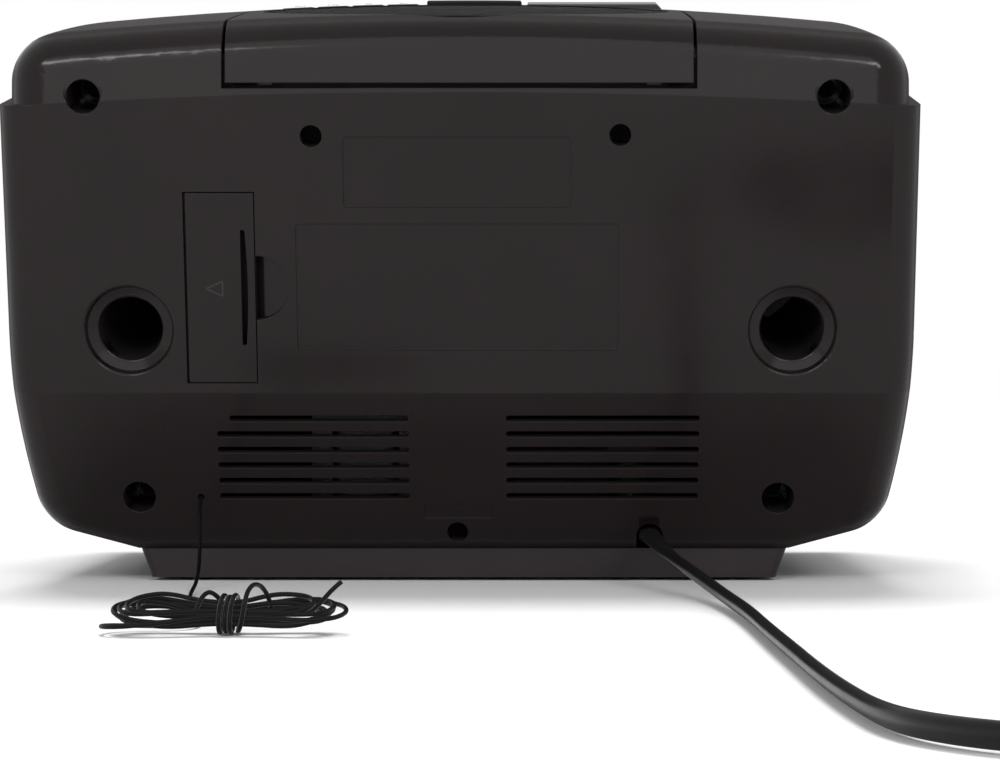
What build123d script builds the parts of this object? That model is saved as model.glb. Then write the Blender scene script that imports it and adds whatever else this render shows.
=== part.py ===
from build123d import *
import math
import os

# A bedside radio with a top-loading disc player, seen from behind in its reference view.
# The cabinet leans back on a low pedestal, so it is modelled upright in its own frame and then
# tipped: x runs across, y is the depth (0 at the flat rear wall, negative towards the front)
# and z runs up the rear wall (0 at the lower crease). Pedestal and cords are in the final frame.

os.makedirs("parts", exist_ok=True)

# Cabinet, in millimetres and degrees
LEAN = 12.0
CREASE_Y = 92.52
CREASE_Z = 67.2
BODY_BOTTOM_Z = 11.5
WIDE_HALF = 158.4
NARROW_HALF = 154.9
UNDERSIDE_HALF = 116.5
LOWER_CORNER = (149.6, 20.6)
LOWER_CORNER_RADIUS = 18.5
DEPTH = 195.0
WALL = 2.6
SHOULDER = 104.75
SHOULDER_CROWN = 2460.0
BAND_BOW = 12000.0
LOWER_TILT = 10.0
TOP_RADIUS = 2660.0
TOP_CROWN = 1500.0
TOP_EDGE = (-13.6, 130.1)
TOP_CORNER_RADIUS = 17.4
REAR_TOP_RADIUS = 14.0
REAR_SIDE_RADIUS = 10.0
FRONT_RADIUS = 12.0
CHIN_RADIUS = 32.0
SPLIT_Y = -70.0
RUNNING_FIT = 0.08

# Rear wall features
DEEP_HOLE_RADIUS = 5.8
DEEP_HOLES = ((128.3, 103.1), (-127.7, 103.1), (114.3, -39.1), (-111.6, -39.5))
SMALL_HOLE_RADIUS = 3.75
SMALL_HOLES = ((50.8, 89.7), (-54.9, 90.1), (1.9, -52.6))
PORT_X = 115.0
PORT_Z = 22.2
PORT_RADIUS = 10.9
PORT_FLARE_RADIUS = 16.4
PORT_LIP_RADIUS = 1.3
LABEL_RECESS = (-54.6, 56.7, 14.9, 59.4)
NOTICE_RECESS = (-38.2, 40.0, 65.0, 89.4)
RECESS_DEPTH = 0.8
VENT_PITCH = 5.94
VENT_HEIGHT = 2.3
VENT_COUNT = 6
VENT_FIRST_Z = -9.65
CORD_X = -66.4
CORD_NOTCH_WIDTH = 9.2
AERIAL_X = 92.5
AERIAL_S = 39.7

# Battery bay
DOOR_X = (70.6, 95.3)
DOOR_Z = (3.4, 70.5)
DOOR_GAP = 0.4
DOOR_THICKNESS = 2.2
BAY_DEPTH = 14.0
SLIT_X = (73.45, 75.75)
SLIT_HALF = 20.2
SCOOP_Z = 37.1
SCOOP_RADIUS = 11.2
SCOOP_DEPTH = 4.6
SCOOP_PAD_RADIUS = 14.0

# Disc drive
DISC_Y = -87.0
DISC_BOTTOM = 109.5
HUB_RADIUS = 7.4
SHAFT_RADIUS = 1.0
GUIDE_ROD_RADIUS = 1.5
GUIDE_ROD_XS = (-15.5, 15.5)
GUIDE_ROD_Z = 100.5
LID_HALF = 79.8
LID_GAP = 1.2
SKIRT_GAP = 1.5
BEVEL_REACH = 4.5
LID_FRONT = -165.5
SKIRT_BOTTOM = 107.8
HINGE_Y = -6.5
HINGE_Z = 108.8
HINGE_PIN_RADIUS = 1.2
WINDOW_RADIUS = 74.6
DECK_TOP = 115.5
PINION_RADIUS = 6.0
PINION_TEETH = 16
PINION_X = 28.0
PINION_Y = -128.0
LENS_REST_Y = DISC_Y - 24.0

# Front panel
SPEAKER_X = 103.0
SPEAKER_Z = 24.0
GRILLE_RADIUS = 38.0
DISPLAY = (-54.0, 54.0, 50.0, 92.0)
KEY_XS = (-48.0, -24.0, 0.0, 24.0, 48.0)
KEY_Z = 33.0
KNOB_X = 33.0
KNOB_Z = 1.0
KNOB_RADIUS = 16.0
SPINDLE_RADIUS = 3.0
JACK_Z = -36.0

# Top keys, in front of the lid
TOP_KEY_Y = (-182.6, -169.4)
RELEASE_X = (-19.7, 18.2)
SNOOZE_X = (-76.0, -22.0)
RELEASE_PROUD = 1.8
SNOOZE_TOP = 123.05
DISC_KEY_HALF = 6.3
DISC_KEY_XS = (28.0, 42.0, 56.0, 70.0)
DISC_KEYS = ("play", "stop", "back", "skip")
FRONT_KEYS = ("power", "band", "alarm", "sleep", "clock")

# Pedestal and mains parts, in the final frame
PEDESTAL_LOW_HALF = 112.2
PEDESTAL_TOP_HALF = 115.9
PEDESTAL_REAR = 64.1
PEDESTAL_FRONT = -94.0
FEET = ((-96.0, -78.0), (96.0, -78.0), (-96.0, 46.0), (96.0, 46.0))
FOOT_RADIUS = 7.5
FOOT_HEIGHT = 3.0
POWER_BOARD = (-70.0, 70.0, -78.0, -2.0)

# Mains lead: flat two-core cord, its lead, its put-away coil and its plug
MAINS_DIAMETER = 7.0
CORD_LEVEL = 3.6
CORD_EXIT = (79.5, 16.6)
MAINS_ROUTE = [
    (-66.4, 79.5, 16.6), (-66.4, 94.5, 16.6), (-72.5, 115, 11.2), (-80.5, 149, 6.5), (-86, 195, 3.8),
    (-89, 250, 3.6), (-90, 312, 3.6), (-91.5, 366, 3.6), (-92.6, 414, 3.6), (-94.6, 455, 3.6),
    (-98, 491, 3.6), (-107, 509.3, 3.6), (-122, 522.6, 3.6), (-147.5, 531, 3.6), (-174, 531, 3.6),
]
COIL_CENTRE = (-174.0, 485.0)
COIL_RADIUS = 46.0
COIL_PITCH = 8.0
COIL_TURNS = 2
COIL_STEPS = 24

# Wire aerial and its tied hank
AERIAL_DIAMETER = 1.35
AERIAL_LEVEL = 1.3
AERIAL_ROUTE = [
    (92.5, 77.6, 30.4), (92.3, 83, 27.4), (91.6, 89, 19.4), (90.4, 98, 9), (89.6, 112, 2.6),
    (88.6, 134, 1.0), (85, 165, 0.9), (80.8, 200, 0.9), (76, 226.5, 1.1), (72.3, 241.5, 1.2),
    (70.6, 251.2, 1.3), (73.69, 259.34, 1.3), (81.58, 258, 1.3),
]
HANK_CENTRE = (60.5, 272.0)
HANK_HALF = 34.0
HANK_WAIST = 10.0
HANK_LOBE = 2.04
HANK_PITCH = 2.0
HANK_LOOPS = 4
HANK_STEPS = 32
HANK_START = -51.7

LEAN_TAN = math.tan(math.radians(LEAN))
SIDE_VIEW = Plane(origin=(0, 0, 0), x_dir=(0, 1, 0), z_dir=(1, 0, 0))
FRONT_VIEW = Plane(origin=(0, 0, 0), x_dir=(1, 0, 0), z_dir=(0, -1, 0))
TIPPED = Pos(0, CREASE_Y, CREASE_Z) * Rot(-LEAN, 0, 0)
LOWER_FACE = Rot(-LOWER_TILT, 0, 0)


def tipped(shape):
    """Lean a piece of the cabinet back into the final frame."""
    return TIPPED * shape


def upright(shape):
    """Bring a piece from the final frame into the cabinet's own frame."""
    return TIPPED.inverse() * shape


def block(x0, x1, y0, y1, z0, z1):
    """Box between two corners."""
    centre = Pos((x0 + x1) / 2, (y0 + y1) / 2, (z0 + z1) / 2)
    return centre * Box(abs(x1 - x0), abs(y1 - y0), abs(z1 - z0))


def round_block(x0, x1, y0, y1, z0, z1, radius, axis=Axis.Z):
    """Box with its edges along one axis rounded."""
    solid = block(x0, x1, y0, y1, z0, z1)
    return fillet(solid.edges().filter_by(axis), radius)


def rod_y(x, z, radius, y0, y1):
    """Round bar along the depth."""
    return Pos(x, (y0 + y1) / 2, z) * Rot(90, 0, 0) * Cylinder(radius, abs(y1 - y0))


def rod_x(y, z, radius, x0, x1):
    """Round bar across the cabinet."""
    return Pos((x0 + x1) / 2, y, z) * Rot(0, 90, 0) * Cylinder(radius, abs(x1 - x0))


def rod_z(x, y, radius, z0, z1):
    """Round bar up the cabinet."""
    return Pos(x, y, (z0 + z1) / 2) * Cylinder(radius, abs(z1 - z0))


def both_sides(shape):
    """A shape and its mirror image."""
    return [shape, mirror(shape, about=Plane.YZ)]


def prism_x(face, half=200.0):
    """Push a side-view face out to both sides."""
    return extrude(face, amount=half, dir=(1, 0, 0), both=True)


def bottom_height(y):
    """Height of the level underside, in the leaning frame."""
    lean = math.radians(LEAN)
    return (BODY_BOTTOM_Z - CREASE_Z + y * math.sin(lean)) / math.cos(lean)


def front_outline(inset):
    """Front view of the lower cabinet: bowed cheeks, round corners and ramps to a level underside."""
    with BuildSketch() as sketch:
        with BuildLine():
            top = Line((0, 260), (WIDE_HALF, 260))
            side = Line(top @ 1, (WIDE_HALF, 93))
            cheek = RadiusArc(side @ 1, LOWER_CORNER, 280)
            ramp = Line(cheek @ 1, (UNDERSIDE_HALF, BODY_BOTTOM_Z))
            Line(ramp @ 1, (0, BODY_BOTTOM_Z))
            mirror(about=Plane.YZ)
        make_face()
        x, z = LOWER_CORNER
        for place in ((x, z, 0), (-x, z, 0)):
            fillet(sketch.vertices().sort_by_distance(place)[0], LOWER_CORNER_RADIUS)
        if inset:
            offset(amount=-inset, kind=Kind.INTERSECTION)
    return FRONT_VIEW * sketch.sketch


def plan_prism(half, inset, front_radius):
    """Plan of the cabinet with rounded front corners, as a tall prism."""
    with BuildSketch() as sketch:
        with Locations((0, 0)):
            Rectangle(2 * (half - inset), 2 * (DEPTH - inset))
        fillet(sketch.vertices(), front_radius - inset)
    return Pos(0, 0, -150) * extrude(sketch.sketch, amount=330)


def lower_form(inset):
    """Lower cabinet: flat rear wall, tilted skirt below the crease, level underside."""
    tilt = math.tan(math.radians(LOWER_TILT))
    heel_z = bottom_height(0)
    for _ in range(8):
        heel_z = bottom_height(heel_z * tilt)
    heel = (heel_z * tilt, heel_z)
    chin = (-DEPTH, bottom_height(-DEPTH))
    with BuildSketch() as sketch:
        with BuildLine():
            Polyline((-DEPTH, 140), chin, heel, (0, 0), (0, 140), close=True)
        make_face()
        fillet(sketch.vertices().sort_by_distance((*chin, 0))[0], CHIN_RADIUS)
        if inset:
            offset(amount=-inset, kind=Kind.INTERSECTION)
    side = prism_x(SIDE_VIEW * sketch.sketch)
    front = upright(Pos(0, CREASE_Y, 0) * extrude(front_outline(inset), amount=320, both=True))
    solid = side & front
    rim = [
        edge for edge in solid.edges()
        if edge.bounding_box().min.Y > -16 - inset
        and (abs(edge.center().X) > 60 or edge.center().Z < -50)
    ]
    solid = fillet(rim, REAR_SIDE_RADIUS - inset / 3)
    return solid & plan_prism(WIDE_HALF, inset, FRONT_RADIUS)


def top_block(inset):
    """Everything under the doubly curved top surface."""
    slope = math.radians(1.0)
    centre_y = TOP_EDGE[0] + TOP_RADIUS * math.sin(slope)
    centre_z = TOP_EDGE[1] - TOP_RADIUS * math.cos(slope)
    half = 170.0
    high = TOP_RADIUS - inset
    drop = high - (TOP_CROWN - math.sqrt(TOP_CROWN ** 2 - half ** 2))
    with BuildSketch() as sketch:
        with BuildLine():
            ThreePointArc((-half, drop), (0, high), (half, drop))
            Polyline((half, drop), (half, high - 260), (-half, high - 260), (-half, drop))
        make_face()
    face = Plane(origin=(0, centre_y, centre_z), x_dir=(1, 0, 0), z_dir=(0, -1, 0)) * sketch.sketch
    axis = Axis((0, centre_y, centre_z), (1, 0, 0))
    return revolve(face.rotate(axis, -2.0), axis=axis, revolution_arc=9)


def shoulder_block(inset):
    """Everything under the crowned shoulder line."""
    half = 175.0
    high = SHOULDER - inset
    drop = high - (SHOULDER_CROWN - math.sqrt(SHOULDER_CROWN ** 2 - half ** 2))
    with BuildSketch() as sketch:
        with BuildLine():
            ThreePointArc((-half, drop), (0, high), (half, drop))
            Polyline((half, drop), (half, -160), (-half, -160), (-half, drop))
        make_face()
    return extrude(FRONT_VIEW * sketch.sketch, amount=260, both=True)


def upper_form(inset):
    """Upper cabinet: narrower, with an upright rear band and a crowned top."""
    half = NARROW_HALF - inset
    bow = BAND_BOW - math.sqrt(BAND_BOW ** 2 - half ** 2)
    lean = math.radians(LEAN)
    rear = CREASE_Y + SHOULDER * math.sin(lean) - inset
    with BuildSketch() as sketch:
        with BuildLine():
            ThreePointArc((-half, rear - bow), (0, rear), (half, rear - bow))
            Polyline((half, rear - bow), (half, -300), (-half, -300), (-half, rear - bow))
        make_face()
    band = upright(extrude(sketch.sketch, amount=400))
    solid = band & block(-200, 200, -DEPTH + inset, 60, 60, 170) & top_block(inset)
    long_edges = [
        edge for edge in solid.edges()
        if abs(edge.center().X) > half - 3 and edge.center().Z > 108 and edge.length > 120
    ]
    solid = fillet(long_edges, TOP_CORNER_RADIUS - inset)
    rims = ((-26.0, 60.0, REAR_TOP_RADIUS), (-300.0, -DEPTH + inset + 1, FRONT_RADIUS))
    for y0, y1, radius in rims:
        rim = [
            edge for edge in solid.edges()
            if edge.bounding_box().min.Y > y0 and edge.bounding_box().max.Y < y1
            and edge.center().Z > 62
        ]
        solid = fillet(rim, radius - inset)
    return solid


def cabinet_form(inset):
    """Whole cabinet, moved in by an inset on every side."""
    lower = lower_form(inset) & shoulder_block(inset)
    upper = upper_form(inset)
    neck = upper & block(-200, 200, -300, -inset, 80, SHOULDER)
    upper = upper - shoulder_block(0)
    return lower + upper + neck if inset else lower + upper


def solid_of(shape):
    """The largest solid of a result."""
    return sorted(shape.solids(), key=lambda s: s.volume)[-1]


def lid_prism(gap, low):
    """Upright prism on the lid's plan, grown by a gap, from a height up."""
    half = LID_HALF + gap
    front = LID_FRONT - gap
    prism = block(-half, half, front, 40, low, 150)
    corners = [edge for edge in prism.edges().filter_by(Axis.Z) if edge.center().Y < front + 1]
    return fillet(corners, 16 + gap)


def screw(x, z, seat_y, length, head_radius=3.4):
    """Pan head screw pointing forward, its head on a seat."""
    head = rod_y(x, z, head_radius, seat_y, seat_y + 2.2)
    cross = block(x - 2, x + 2, seat_y + 1, seat_y + 3, z - 0.4, z + 0.4)
    cross += block(x - 0.4, x + 0.4, seat_y + 1, seat_y + 3, z - 2, z + 2)
    return head - cross + rod_y(x, z, 1.5, seat_y - length, seat_y)


def port_flare():
    """Stepped mouth of a bass port with two rolled lips, as a cutting body."""
    lip = PORT_LIP_RADIUS
    dish = -2 * lip
    floor = dish - 0.9
    curl = lip * (1 - math.sqrt(0.5))
    rim = PORT_FLARE_RADIUS - lip
    throat = PORT_RADIUS + lip
    with BuildSketch() as sketch:
        with BuildLine():
            ThreePointArc((PORT_FLARE_RADIUS, 0), (rim + curl, -curl), (rim, -lip))
            Polyline((rim, -lip), (rim - 0.3, dish), (throat, floor))
            ThreePointArc((throat, floor), (PORT_RADIUS + curl, floor - curl), (PORT_RADIUS, floor - lip))
            Polyline(
                (PORT_RADIUS, floor - lip), (PORT_RADIUS, -12), (0, -12), (0, 1),
                (PORT_FLARE_RADIUS, 1), (PORT_FLARE_RADIUS, 0)
            )
        make_face()
    flare = revolve(sketch.sketch, axis=Axis.Y)
    return Pos(0, 0, PORT_Z) * flare


def slot_y(x0, x1, z0, z1, y0, y1, radius):
    """Round-cornered hole along the depth."""
    return round_block(x0, x1, y0, y1, z0, z1, radius, Axis.Y)


def rear_bosses():
    """Screw pillars, port collars and the pad behind the finger scoop."""
    pieces = [rod_y(x, z, 8.0, -34, -1) for x, z in DEEP_HOLES]
    pieces += [rod_y(x, z, 6.0, -15, -1) for x, z in SMALL_HOLES[:2]]
    pieces.append(rod_y(*SMALL_HOLES[2], 6.0, -22, -6))
    pieces += [rod_y(side * PORT_X, PORT_Z, 18.5, -11, -1) for side in (1, -1)]
    pieces.append(rod_y(DOOR_X[0], SCOOP_Z, SCOOP_PAD_RADIUS, -8, -1))
    return pieces


def rear_cuts():
    """Holes and recesses of the rear wall."""
    cuts = []
    for x, z in DEEP_HOLES:
        cuts += [rod_y(x, z, DEEP_HOLE_RADIUS, -31.5, 3), rod_y(x, z, 1.8, -36, -30)]
        cuts.append(Pos(x, 0, z) * Rot(90, 0, 0) * Cone(DEEP_HOLE_RADIUS - 1, DEEP_HOLE_RADIUS + 1, 2))
    for x, z in SMALL_HOLES[:2]:
        cuts += [rod_y(x, z, SMALL_HOLE_RADIUS, -12.5, 3), rod_y(x, z, 1.8, -16, -12)]
    x, z = SMALL_HOLES[2]
    cuts += [rod_y(x, z, SMALL_HOLE_RADIUS, -19, 3), rod_y(x, z, 1.8, -23, -17)]
    cuts += [Pos(side * PORT_X, 0, 0) * port_flare() for side in (1, -1)]
    cuts += [slot_y(*recess, -RECESS_DEPTH, 1, 1.5) for recess in (LABEL_RECESS, NOTICE_RECESS)]
    cuts.append(block(*DOOR_X, -9, 1, *DOOR_Z))
    cuts.append(scoop_cut())
    cuts.append(lid_prism(LID_GAP, SKIRT_BOTTOM - SKIRT_GAP))
    return cuts


def scoop_cut():
    """Round finger recess whose floor slopes down to the door's edge."""
    x0 = DOOR_X[0]
    far = x0 - SCOOP_RADIUS - 1
    with BuildSketch() as sketch:
        with BuildLine():
            Polyline((x0 + 1, -SCOOP_DEPTH), (far, -0.7), (far, 4), (x0 + 1, 4), close=True)
        make_face()
    slope = Pos(0, 0, SCOOP_Z) * extrude(sketch.sketch, amount=20, both=True)
    return slope & rod_y(x0, SCOOP_Z, SCOOP_RADIUS, -8, 3)


def skirt_bevel():
    """Bevel that lets the lid's skirt swing past the wall below it."""
    low = SKIRT_BOTTOM - SKIRT_GAP
    half = LID_HALF + LID_GAP
    outer = -0.18
    inner = outer - BEVEL_REACH
    with BuildSketch() as sketch:
        with BuildLine():
            Polyline((outer, low), (inner, low - BEVEL_REACH), (inner, low + 2), (outer, low + 2), close=True)
        make_face()
    return prism_x(SIDE_VIEW * sketch.sketch, half)


def lower_face_cuts():
    """Vents, shallow plate recess, cord notch and aerial hole of the tilted lower face."""
    cuts = []
    for row in range(VENT_COUNT):
        z = VENT_FIRST_Z - row * VENT_PITCH
        left = 81.2 if row == 0 else 85.8
        for x0, x1 in ((18.6, left), (-83.3, -15.5)):
            cuts.append(slot_y(x0, x1, z - VENT_HEIGHT / 2, z + VENT_HEIGHT / 2, -6, 3, 1.1))
    cuts.append(slot_y(-10.4, 13.6, -47.9, -42.4, -0.5, 1, 0.8))
    half = CORD_NOTCH_WIDTH / 2
    cuts.append(rod_y(CORD_X, -50.3 - half, half, -16, 4))
    cuts.append(block(CORD_X - half, CORD_X + half, -16, 4, -80, -50.3 - half))
    cuts.append(rod_y(AERIAL_X, -AERIAL_S, 1.2, -8, 3))
    return [LOWER_FACE * cut for cut in cuts]


def rear_housing(shell, outer):
    """Rear half of the cabinet."""
    half = shell & block(-200, 200, SPLIT_Y, 60, -120, 160)
    bosses = Part() + rear_bosses()
    solid = half + (bosses & outer)
    for cut in rear_cuts() + lower_face_cuts():
        solid -= cut
    return solid_of(solid - skirt_bevel())


def front_posts():
    """Long screw pillars that carry the rear half."""
    posts = []
    for x, z in DEEP_HOLES:
        posts.append(rod_y(x, z, 5.0, -193, -34) - rod_y(x, z, 1.5, -48, -33))
    x, z = SMALL_HOLES[2]
    posts.append(rod_y(x, z, 5.0, -193, -22) - rod_y(x, z, 1.5, -36, -21))
    return posts


def front_cuts():
    """Openings of the front panel and of the top."""
    cuts = []
    for side in (1, -1):
        cuts.append(rod_y(side * SPEAKER_X, SPEAKER_Z, GRILLE_RADIUS - 2.5, -200, -190))
        cuts.append(rod_y(side * SPEAKER_X, SPEAKER_Z, GRILLE_RADIUS + 0.3, -200, -193.7))
        cuts.append(rod_y(side * KNOB_X, KNOB_Z, 4.2, -200, -190))
    x0, x1, z0, z1 = DISPLAY
    cuts.append(slot_y(x0 - 0.3, x1 + 0.3, z0 - 0.3, z1 + 0.3, -200, -193.6, 4.0))
    cuts.append(slot_y(x0 + 2, x1 - 2, z0 + 2, z1 - 2, -200, -190, 3.0))
    for x in KEY_XS:
        cuts.append(slot_y(x - 10.4, x + 10.4, KEY_Z - 4.9, KEY_Z + 4.9, -200, -190, 2.0))
    cuts.append(rod_y(0, JACK_Z, 4.5, -200, -190))
    spans = [RELEASE_X, SNOOZE_X] + [(x - DISC_KEY_HALF, x + DISC_KEY_HALF) for x in DISC_KEY_XS]
    for x0, x1 in spans:
        cuts.append(block(x0 - 0.35, x1 + 0.35, TOP_KEY_Y[0] - 0.35, TOP_KEY_Y[1] + 0.35, 112, 140))
    cuts.append(lid_prism(LID_GAP, SKIRT_BOTTOM - SKIRT_GAP))
    return cuts


def front_housing(shell):
    """Front half of the cabinet with the top deck and the floor."""
    half = shell & block(-200, 200, -260, SPLIT_Y, -140, 160)
    solid = half + front_posts()
    for cut in front_cuts():
        solid -= cut
    return solid


def lid_shell(shell):
    """Disc lid: top plate and rear skirt in one, with hinge arms and a latch nose."""
    lid = shell & lid_prism(0, SKIRT_BOTTOM)
    rim = rod_z(0, DISC_Y, WINDOW_RADIUS + 0.3, 100, 150) & top_block(-1) - top_block(1.8)
    lid -= rim
    lid -= rod_z(0, DISC_Y, WINDOW_RADIUS - 5, 100, 150)
    for side in (1, -1):
        arm = block(side * 64, side * 69, -9, -4.6, 106.6, 119)
        lid += arm - rod_x(HINGE_Y, HINGE_Z, HINGE_PIN_RADIUS + RUNNING_FIT, -90, 90)
    latch = block(-6, 6, LID_FRONT + 0.4, LID_FRONT + 2.2, 111.5, 121)
    latch += block(-6, 6, LID_FRONT - 0.8, LID_FRONT + 1, 111.5, 113)
    return solid_of(lid + latch)


def lid_window():
    """Smoked round window let into the lid."""
    sheet = top_block(0.5) - top_block(1.8)
    return solid_of(rod_z(0, DISC_Y, WINDOW_RADIUS, 100, 150) & sheet)


def cd_deck():
    """Disc well under the lid, with the trough for the skirt and the hinge bosses."""
    plate = block(-88, 88, LID_FRONT + 2.6, -12, 113, DECK_TOP)
    cup = rod_z(0, DISC_Y, 66, 104, DECK_TOP)
    fingers = Part() + [rod_z(side * 62, DISC_Y, 15, 105.5, DECK_TOP) for side in (1, -1)]
    solid = plate + cup + fingers
    solid -= rod_z(0, DISC_Y, 63.5, 106.5, 120)
    for side in (1, -1):
        solid -= rod_z(side * 62, DISC_Y, 12.5, 108, 120)
    solid -= rod_z(0, DISC_Y, 17, 100, 110)
    solid -= block(-10, 10, -150, -100, 100, 110)
    solid += block(-88, 88, -14.5, -12, 99, DECK_TOP)
    solid += block(-80, 80, -12, -3.4, 99, 101.5)
    for side, (hole_x, hole_z) in zip((1, -1), SMALL_HOLES):
        boss = block(side * 71, side * 77, -12.5, HINGE_Y, HINGE_Z - 2.4, HINGE_Z + 2.4)
        boss += rod_x(HINGE_Y, HINGE_Z, 2.4, side * 71, side * 77)
        solid += boss - rod_x(HINGE_Y, HINGE_Z, HINGE_PIN_RADIUS, -90, 90)
        leg = block(hole_x - 7, hole_x + 7, -24, -15, 84, 101)
        leg += block(hole_x - 7, hole_x + 7, -24, -14, 100, 113.5)
        solid += leg - rod_y(hole_x, hole_z, 1.5, -25, -14)
    shelf = block(-84, 84, TOP_KEY_Y[0] - 6, LID_FRONT + 5, 104, 106)
    shelf += block(-84, 84, LID_FRONT + 3, LID_FRONT + 5, 105, DECK_TOP)
    return solid_of(solid + shelf)


def key_stem(x0, x1):
    """Stem that carries a top key down to its switch."""
    y0, y1 = TOP_KEY_Y
    middle = (x0 + x1) / 2
    return block(middle - 3, middle + 3, y0 + 4, y1 - 4, 112.6, 115.5)


def top_key(x0, x1, proud):
    """Key in front of the lid: a cap that follows the crown, on a stem."""
    y0, y1 = TOP_KEY_Y
    cap = block(x0, x1, y0, y1, 115, 140) & top_block(-proud)
    crown = [edge for edge in cap.edges() if edge.center().Z > 117.5]
    return fillet(crown, 0.8) + key_stem(x0, x1)


def snooze_bar():
    """Level bar that stands out of the falling crown, with a bevelled outer end."""
    y0, y1 = TOP_KEY_Y
    x0, x1 = SNOOZE_X
    cap = block(x0, x1, y0, y1, 115, SNOOZE_TOP)
    outer = cap.edges().filter_by(Axis.Y).sort_by(lambda edge: edge.center().Z - edge.center().X)
    cap = chamfer(outer[-1], 2.2)
    rim = [edge for edge in cap.edges() if edge.center().Z > SNOOZE_TOP - 1]
    return fillet(rim, 0.6) + key_stem(x0, x1)


def front_key(x):
    """Key under the display."""
    cap = round_block(x - 10, x + 10, -197, -190.5, KEY_Z - 4.5, KEY_Z + 4.5, 1.8, Axis.Y)
    cap = fillet(cap.faces().sort_by(Axis.Y)[0].edges(), 0.7)
    return cap + rod_y(x, KEY_Z, 2.5, -190.6, -185)


def knob(x):
    """Ribbed knob with its spindle."""
    body = rod_y(x, KNOB_Z, KNOB_RADIUS, -208.5, -195.5)
    body = chamfer(body.faces().sort_by(Axis.Y)[0].edges(), 1.2)
    grooves = [
        Pos(x, 0, KNOB_Z) * Rot(0, step * 15, 0) * rod_y(KNOB_RADIUS + 0.4, 0, 1.0, -207, -197)
        for step in range(24)
    ]
    body -= grooves
    body -= Pos(x, 0, KNOB_Z) * Rot(0, -45, 0) * block(-0.6, 0.6, -210, -207.9, 4, 13)
    return body + rod_y(x, KNOB_Z, SPINDLE_RADIUS, -195.6, -186)


def speaker_frame(x):
    """Steel basket of a loudspeaker."""
    flange = rod_y(x, SPEAKER_Z, 37.8, -192.4, -190.4) - rod_y(x, SPEAKER_Z, 31.5, -193, -190)
    basket = Pos(x, -179.4, SPEAKER_Z) * Rot(-90, 0, 0) * Cone(34.5, 21.0, 22)
    inner = Pos(x, -179.4, SPEAKER_Z) * Rot(-90, 0, 0) * Cone(33.0, 19.5, 22.02)
    basket -= inner
    for turn in range(3):
        basket -= Pos(x, 0, SPEAKER_Z) * Rot(0, turn * 60, 0) * block(-40, 40, -185, -172, -7, 7)
    ring = rod_y(x, SPEAKER_Z, 21.0, -170.4, -168.4) - rod_y(x, SPEAKER_Z, 11, -171, -168)
    return solid_of(flange + basket + ring)


def speaker_cone(x):
    """Paper cone with its surround, voice coil former and dust cap."""
    with BuildSketch() as sketch:
        with BuildLine():
            Polyline(
                (34.5, -192.4), (34.5, -193.2), (31.4, -193.2), (30.2, -191.6), (28.0, -191.6),
                (26.6, -193.0), (25.2, -193.0), (12.0, -181.0), (8.5, -183.4), (4.0, -184.7),
                (0, -185.0), (0, -184.2), (4.0, -183.9), (8.0, -182.7), (9.4, -181.4),
                (9.4, -172.5), (10.2, -172.5), (10.2, -178.2), (24.9, -191.7), (26.6, -191.9),
                (28.2, -190.7), (30.0, -190.7), (31.2, -192.4), close=True
            )
        make_face()
    return Pos(x, 0, SPEAKER_Z) * revolve(sketch.sketch, axis=Axis.Y)


def speaker_magnet(x):
    """Ring magnet and back plate."""
    return rod_y(x, SPEAKER_Z, 23.0, -168.4, -157) + rod_y(x, SPEAKER_Z, 19.0, -157, -154)


def grille(x):
    """Round slotted grille in a rebate of the front panel."""
    disc = rod_y(x, SPEAKER_Z, GRILLE_RADIUS, -195.8, -193.7)
    disc = chamfer(disc.faces().sort_by(Axis.Y)[0].edges(), 0.6)
    rows = range(-7, 8)
    for row in rows:
        z = row * 4.4
        reach = math.sqrt((GRILLE_RADIUS - 4) ** 2 - z ** 2)
        for half in (1, -1):
            x0, x1 = sorted((half * 1.4, half * reach))
            disc -= block(x + x0, x + x1, -197, -193, SPEAKER_Z + z - 1.0, SPEAKER_Z + z + 1.0)
    return disc


def port_tube(side):
    """Bass port tube behind the trumpet mouth."""
    x = side * PORT_X
    tube = rod_y(x, PORT_Z, 13.2, -84, -11) - rod_y(x, PORT_Z, PORT_RADIUS, -85, -10)
    collar = rod_y(x, PORT_Z, 16.9, -13.5, -11) - rod_y(x, PORT_Z, 12, -14, -10)
    return tube + collar


def battery_box():
    """Tray for two small cells, open to the rear."""
    x0, x1 = DOOR_X
    z0, z1 = DOOR_Z
    tray = block(x0 - 2.2, x1 + 2.2, -BAY_DEPTH - 4.6, -2.6, z0 - 2.2, z1 + 2.2)
    tray -= block(x0 + 0.4, x1 - 1.2, -BAY_DEPTH - 2.6, 0, z0 + 1.0, z1 - 1.0)
    tray += block(x0 + 11.6, x0 + 12.6, -BAY_DEPTH - 2.7, -9.5, z0 + 8, z1 - 8)
    return tray - rod_y(x0, SCOOP_Z, SCOOP_PAD_RADIUS, -8, 0) - rod_y(PORT_X, PORT_Z, 18.5, -11, 0)


def battery_contacts():
    """Bent contact leaves at both ends of the tray."""
    leaves = []
    x0, x1 = DOOR_X
    for x in (x0 + 6, x1 - 6.8):
        for z, up in ((DOOR_Z[0] + 1.0, 1), (DOOR_Z[1] - 1.0, -1)):
            with BuildSketch() as sketch:
                with BuildLine():
                    Polyline(
                        (-15.6, z), (-15.6, z + 0.5 * up), (-9.5, z + 3.5 * up),
                        (-4.2, z + 0.5 * up), (-4.2, z), (-9.5, z + 3.0 * up), close=True
                    )
                make_face()
            leaves.append(Pos(x, 0, 0) * prism_x(SIDE_VIEW * sketch.sketch, 4.0))
    return leaves


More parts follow.
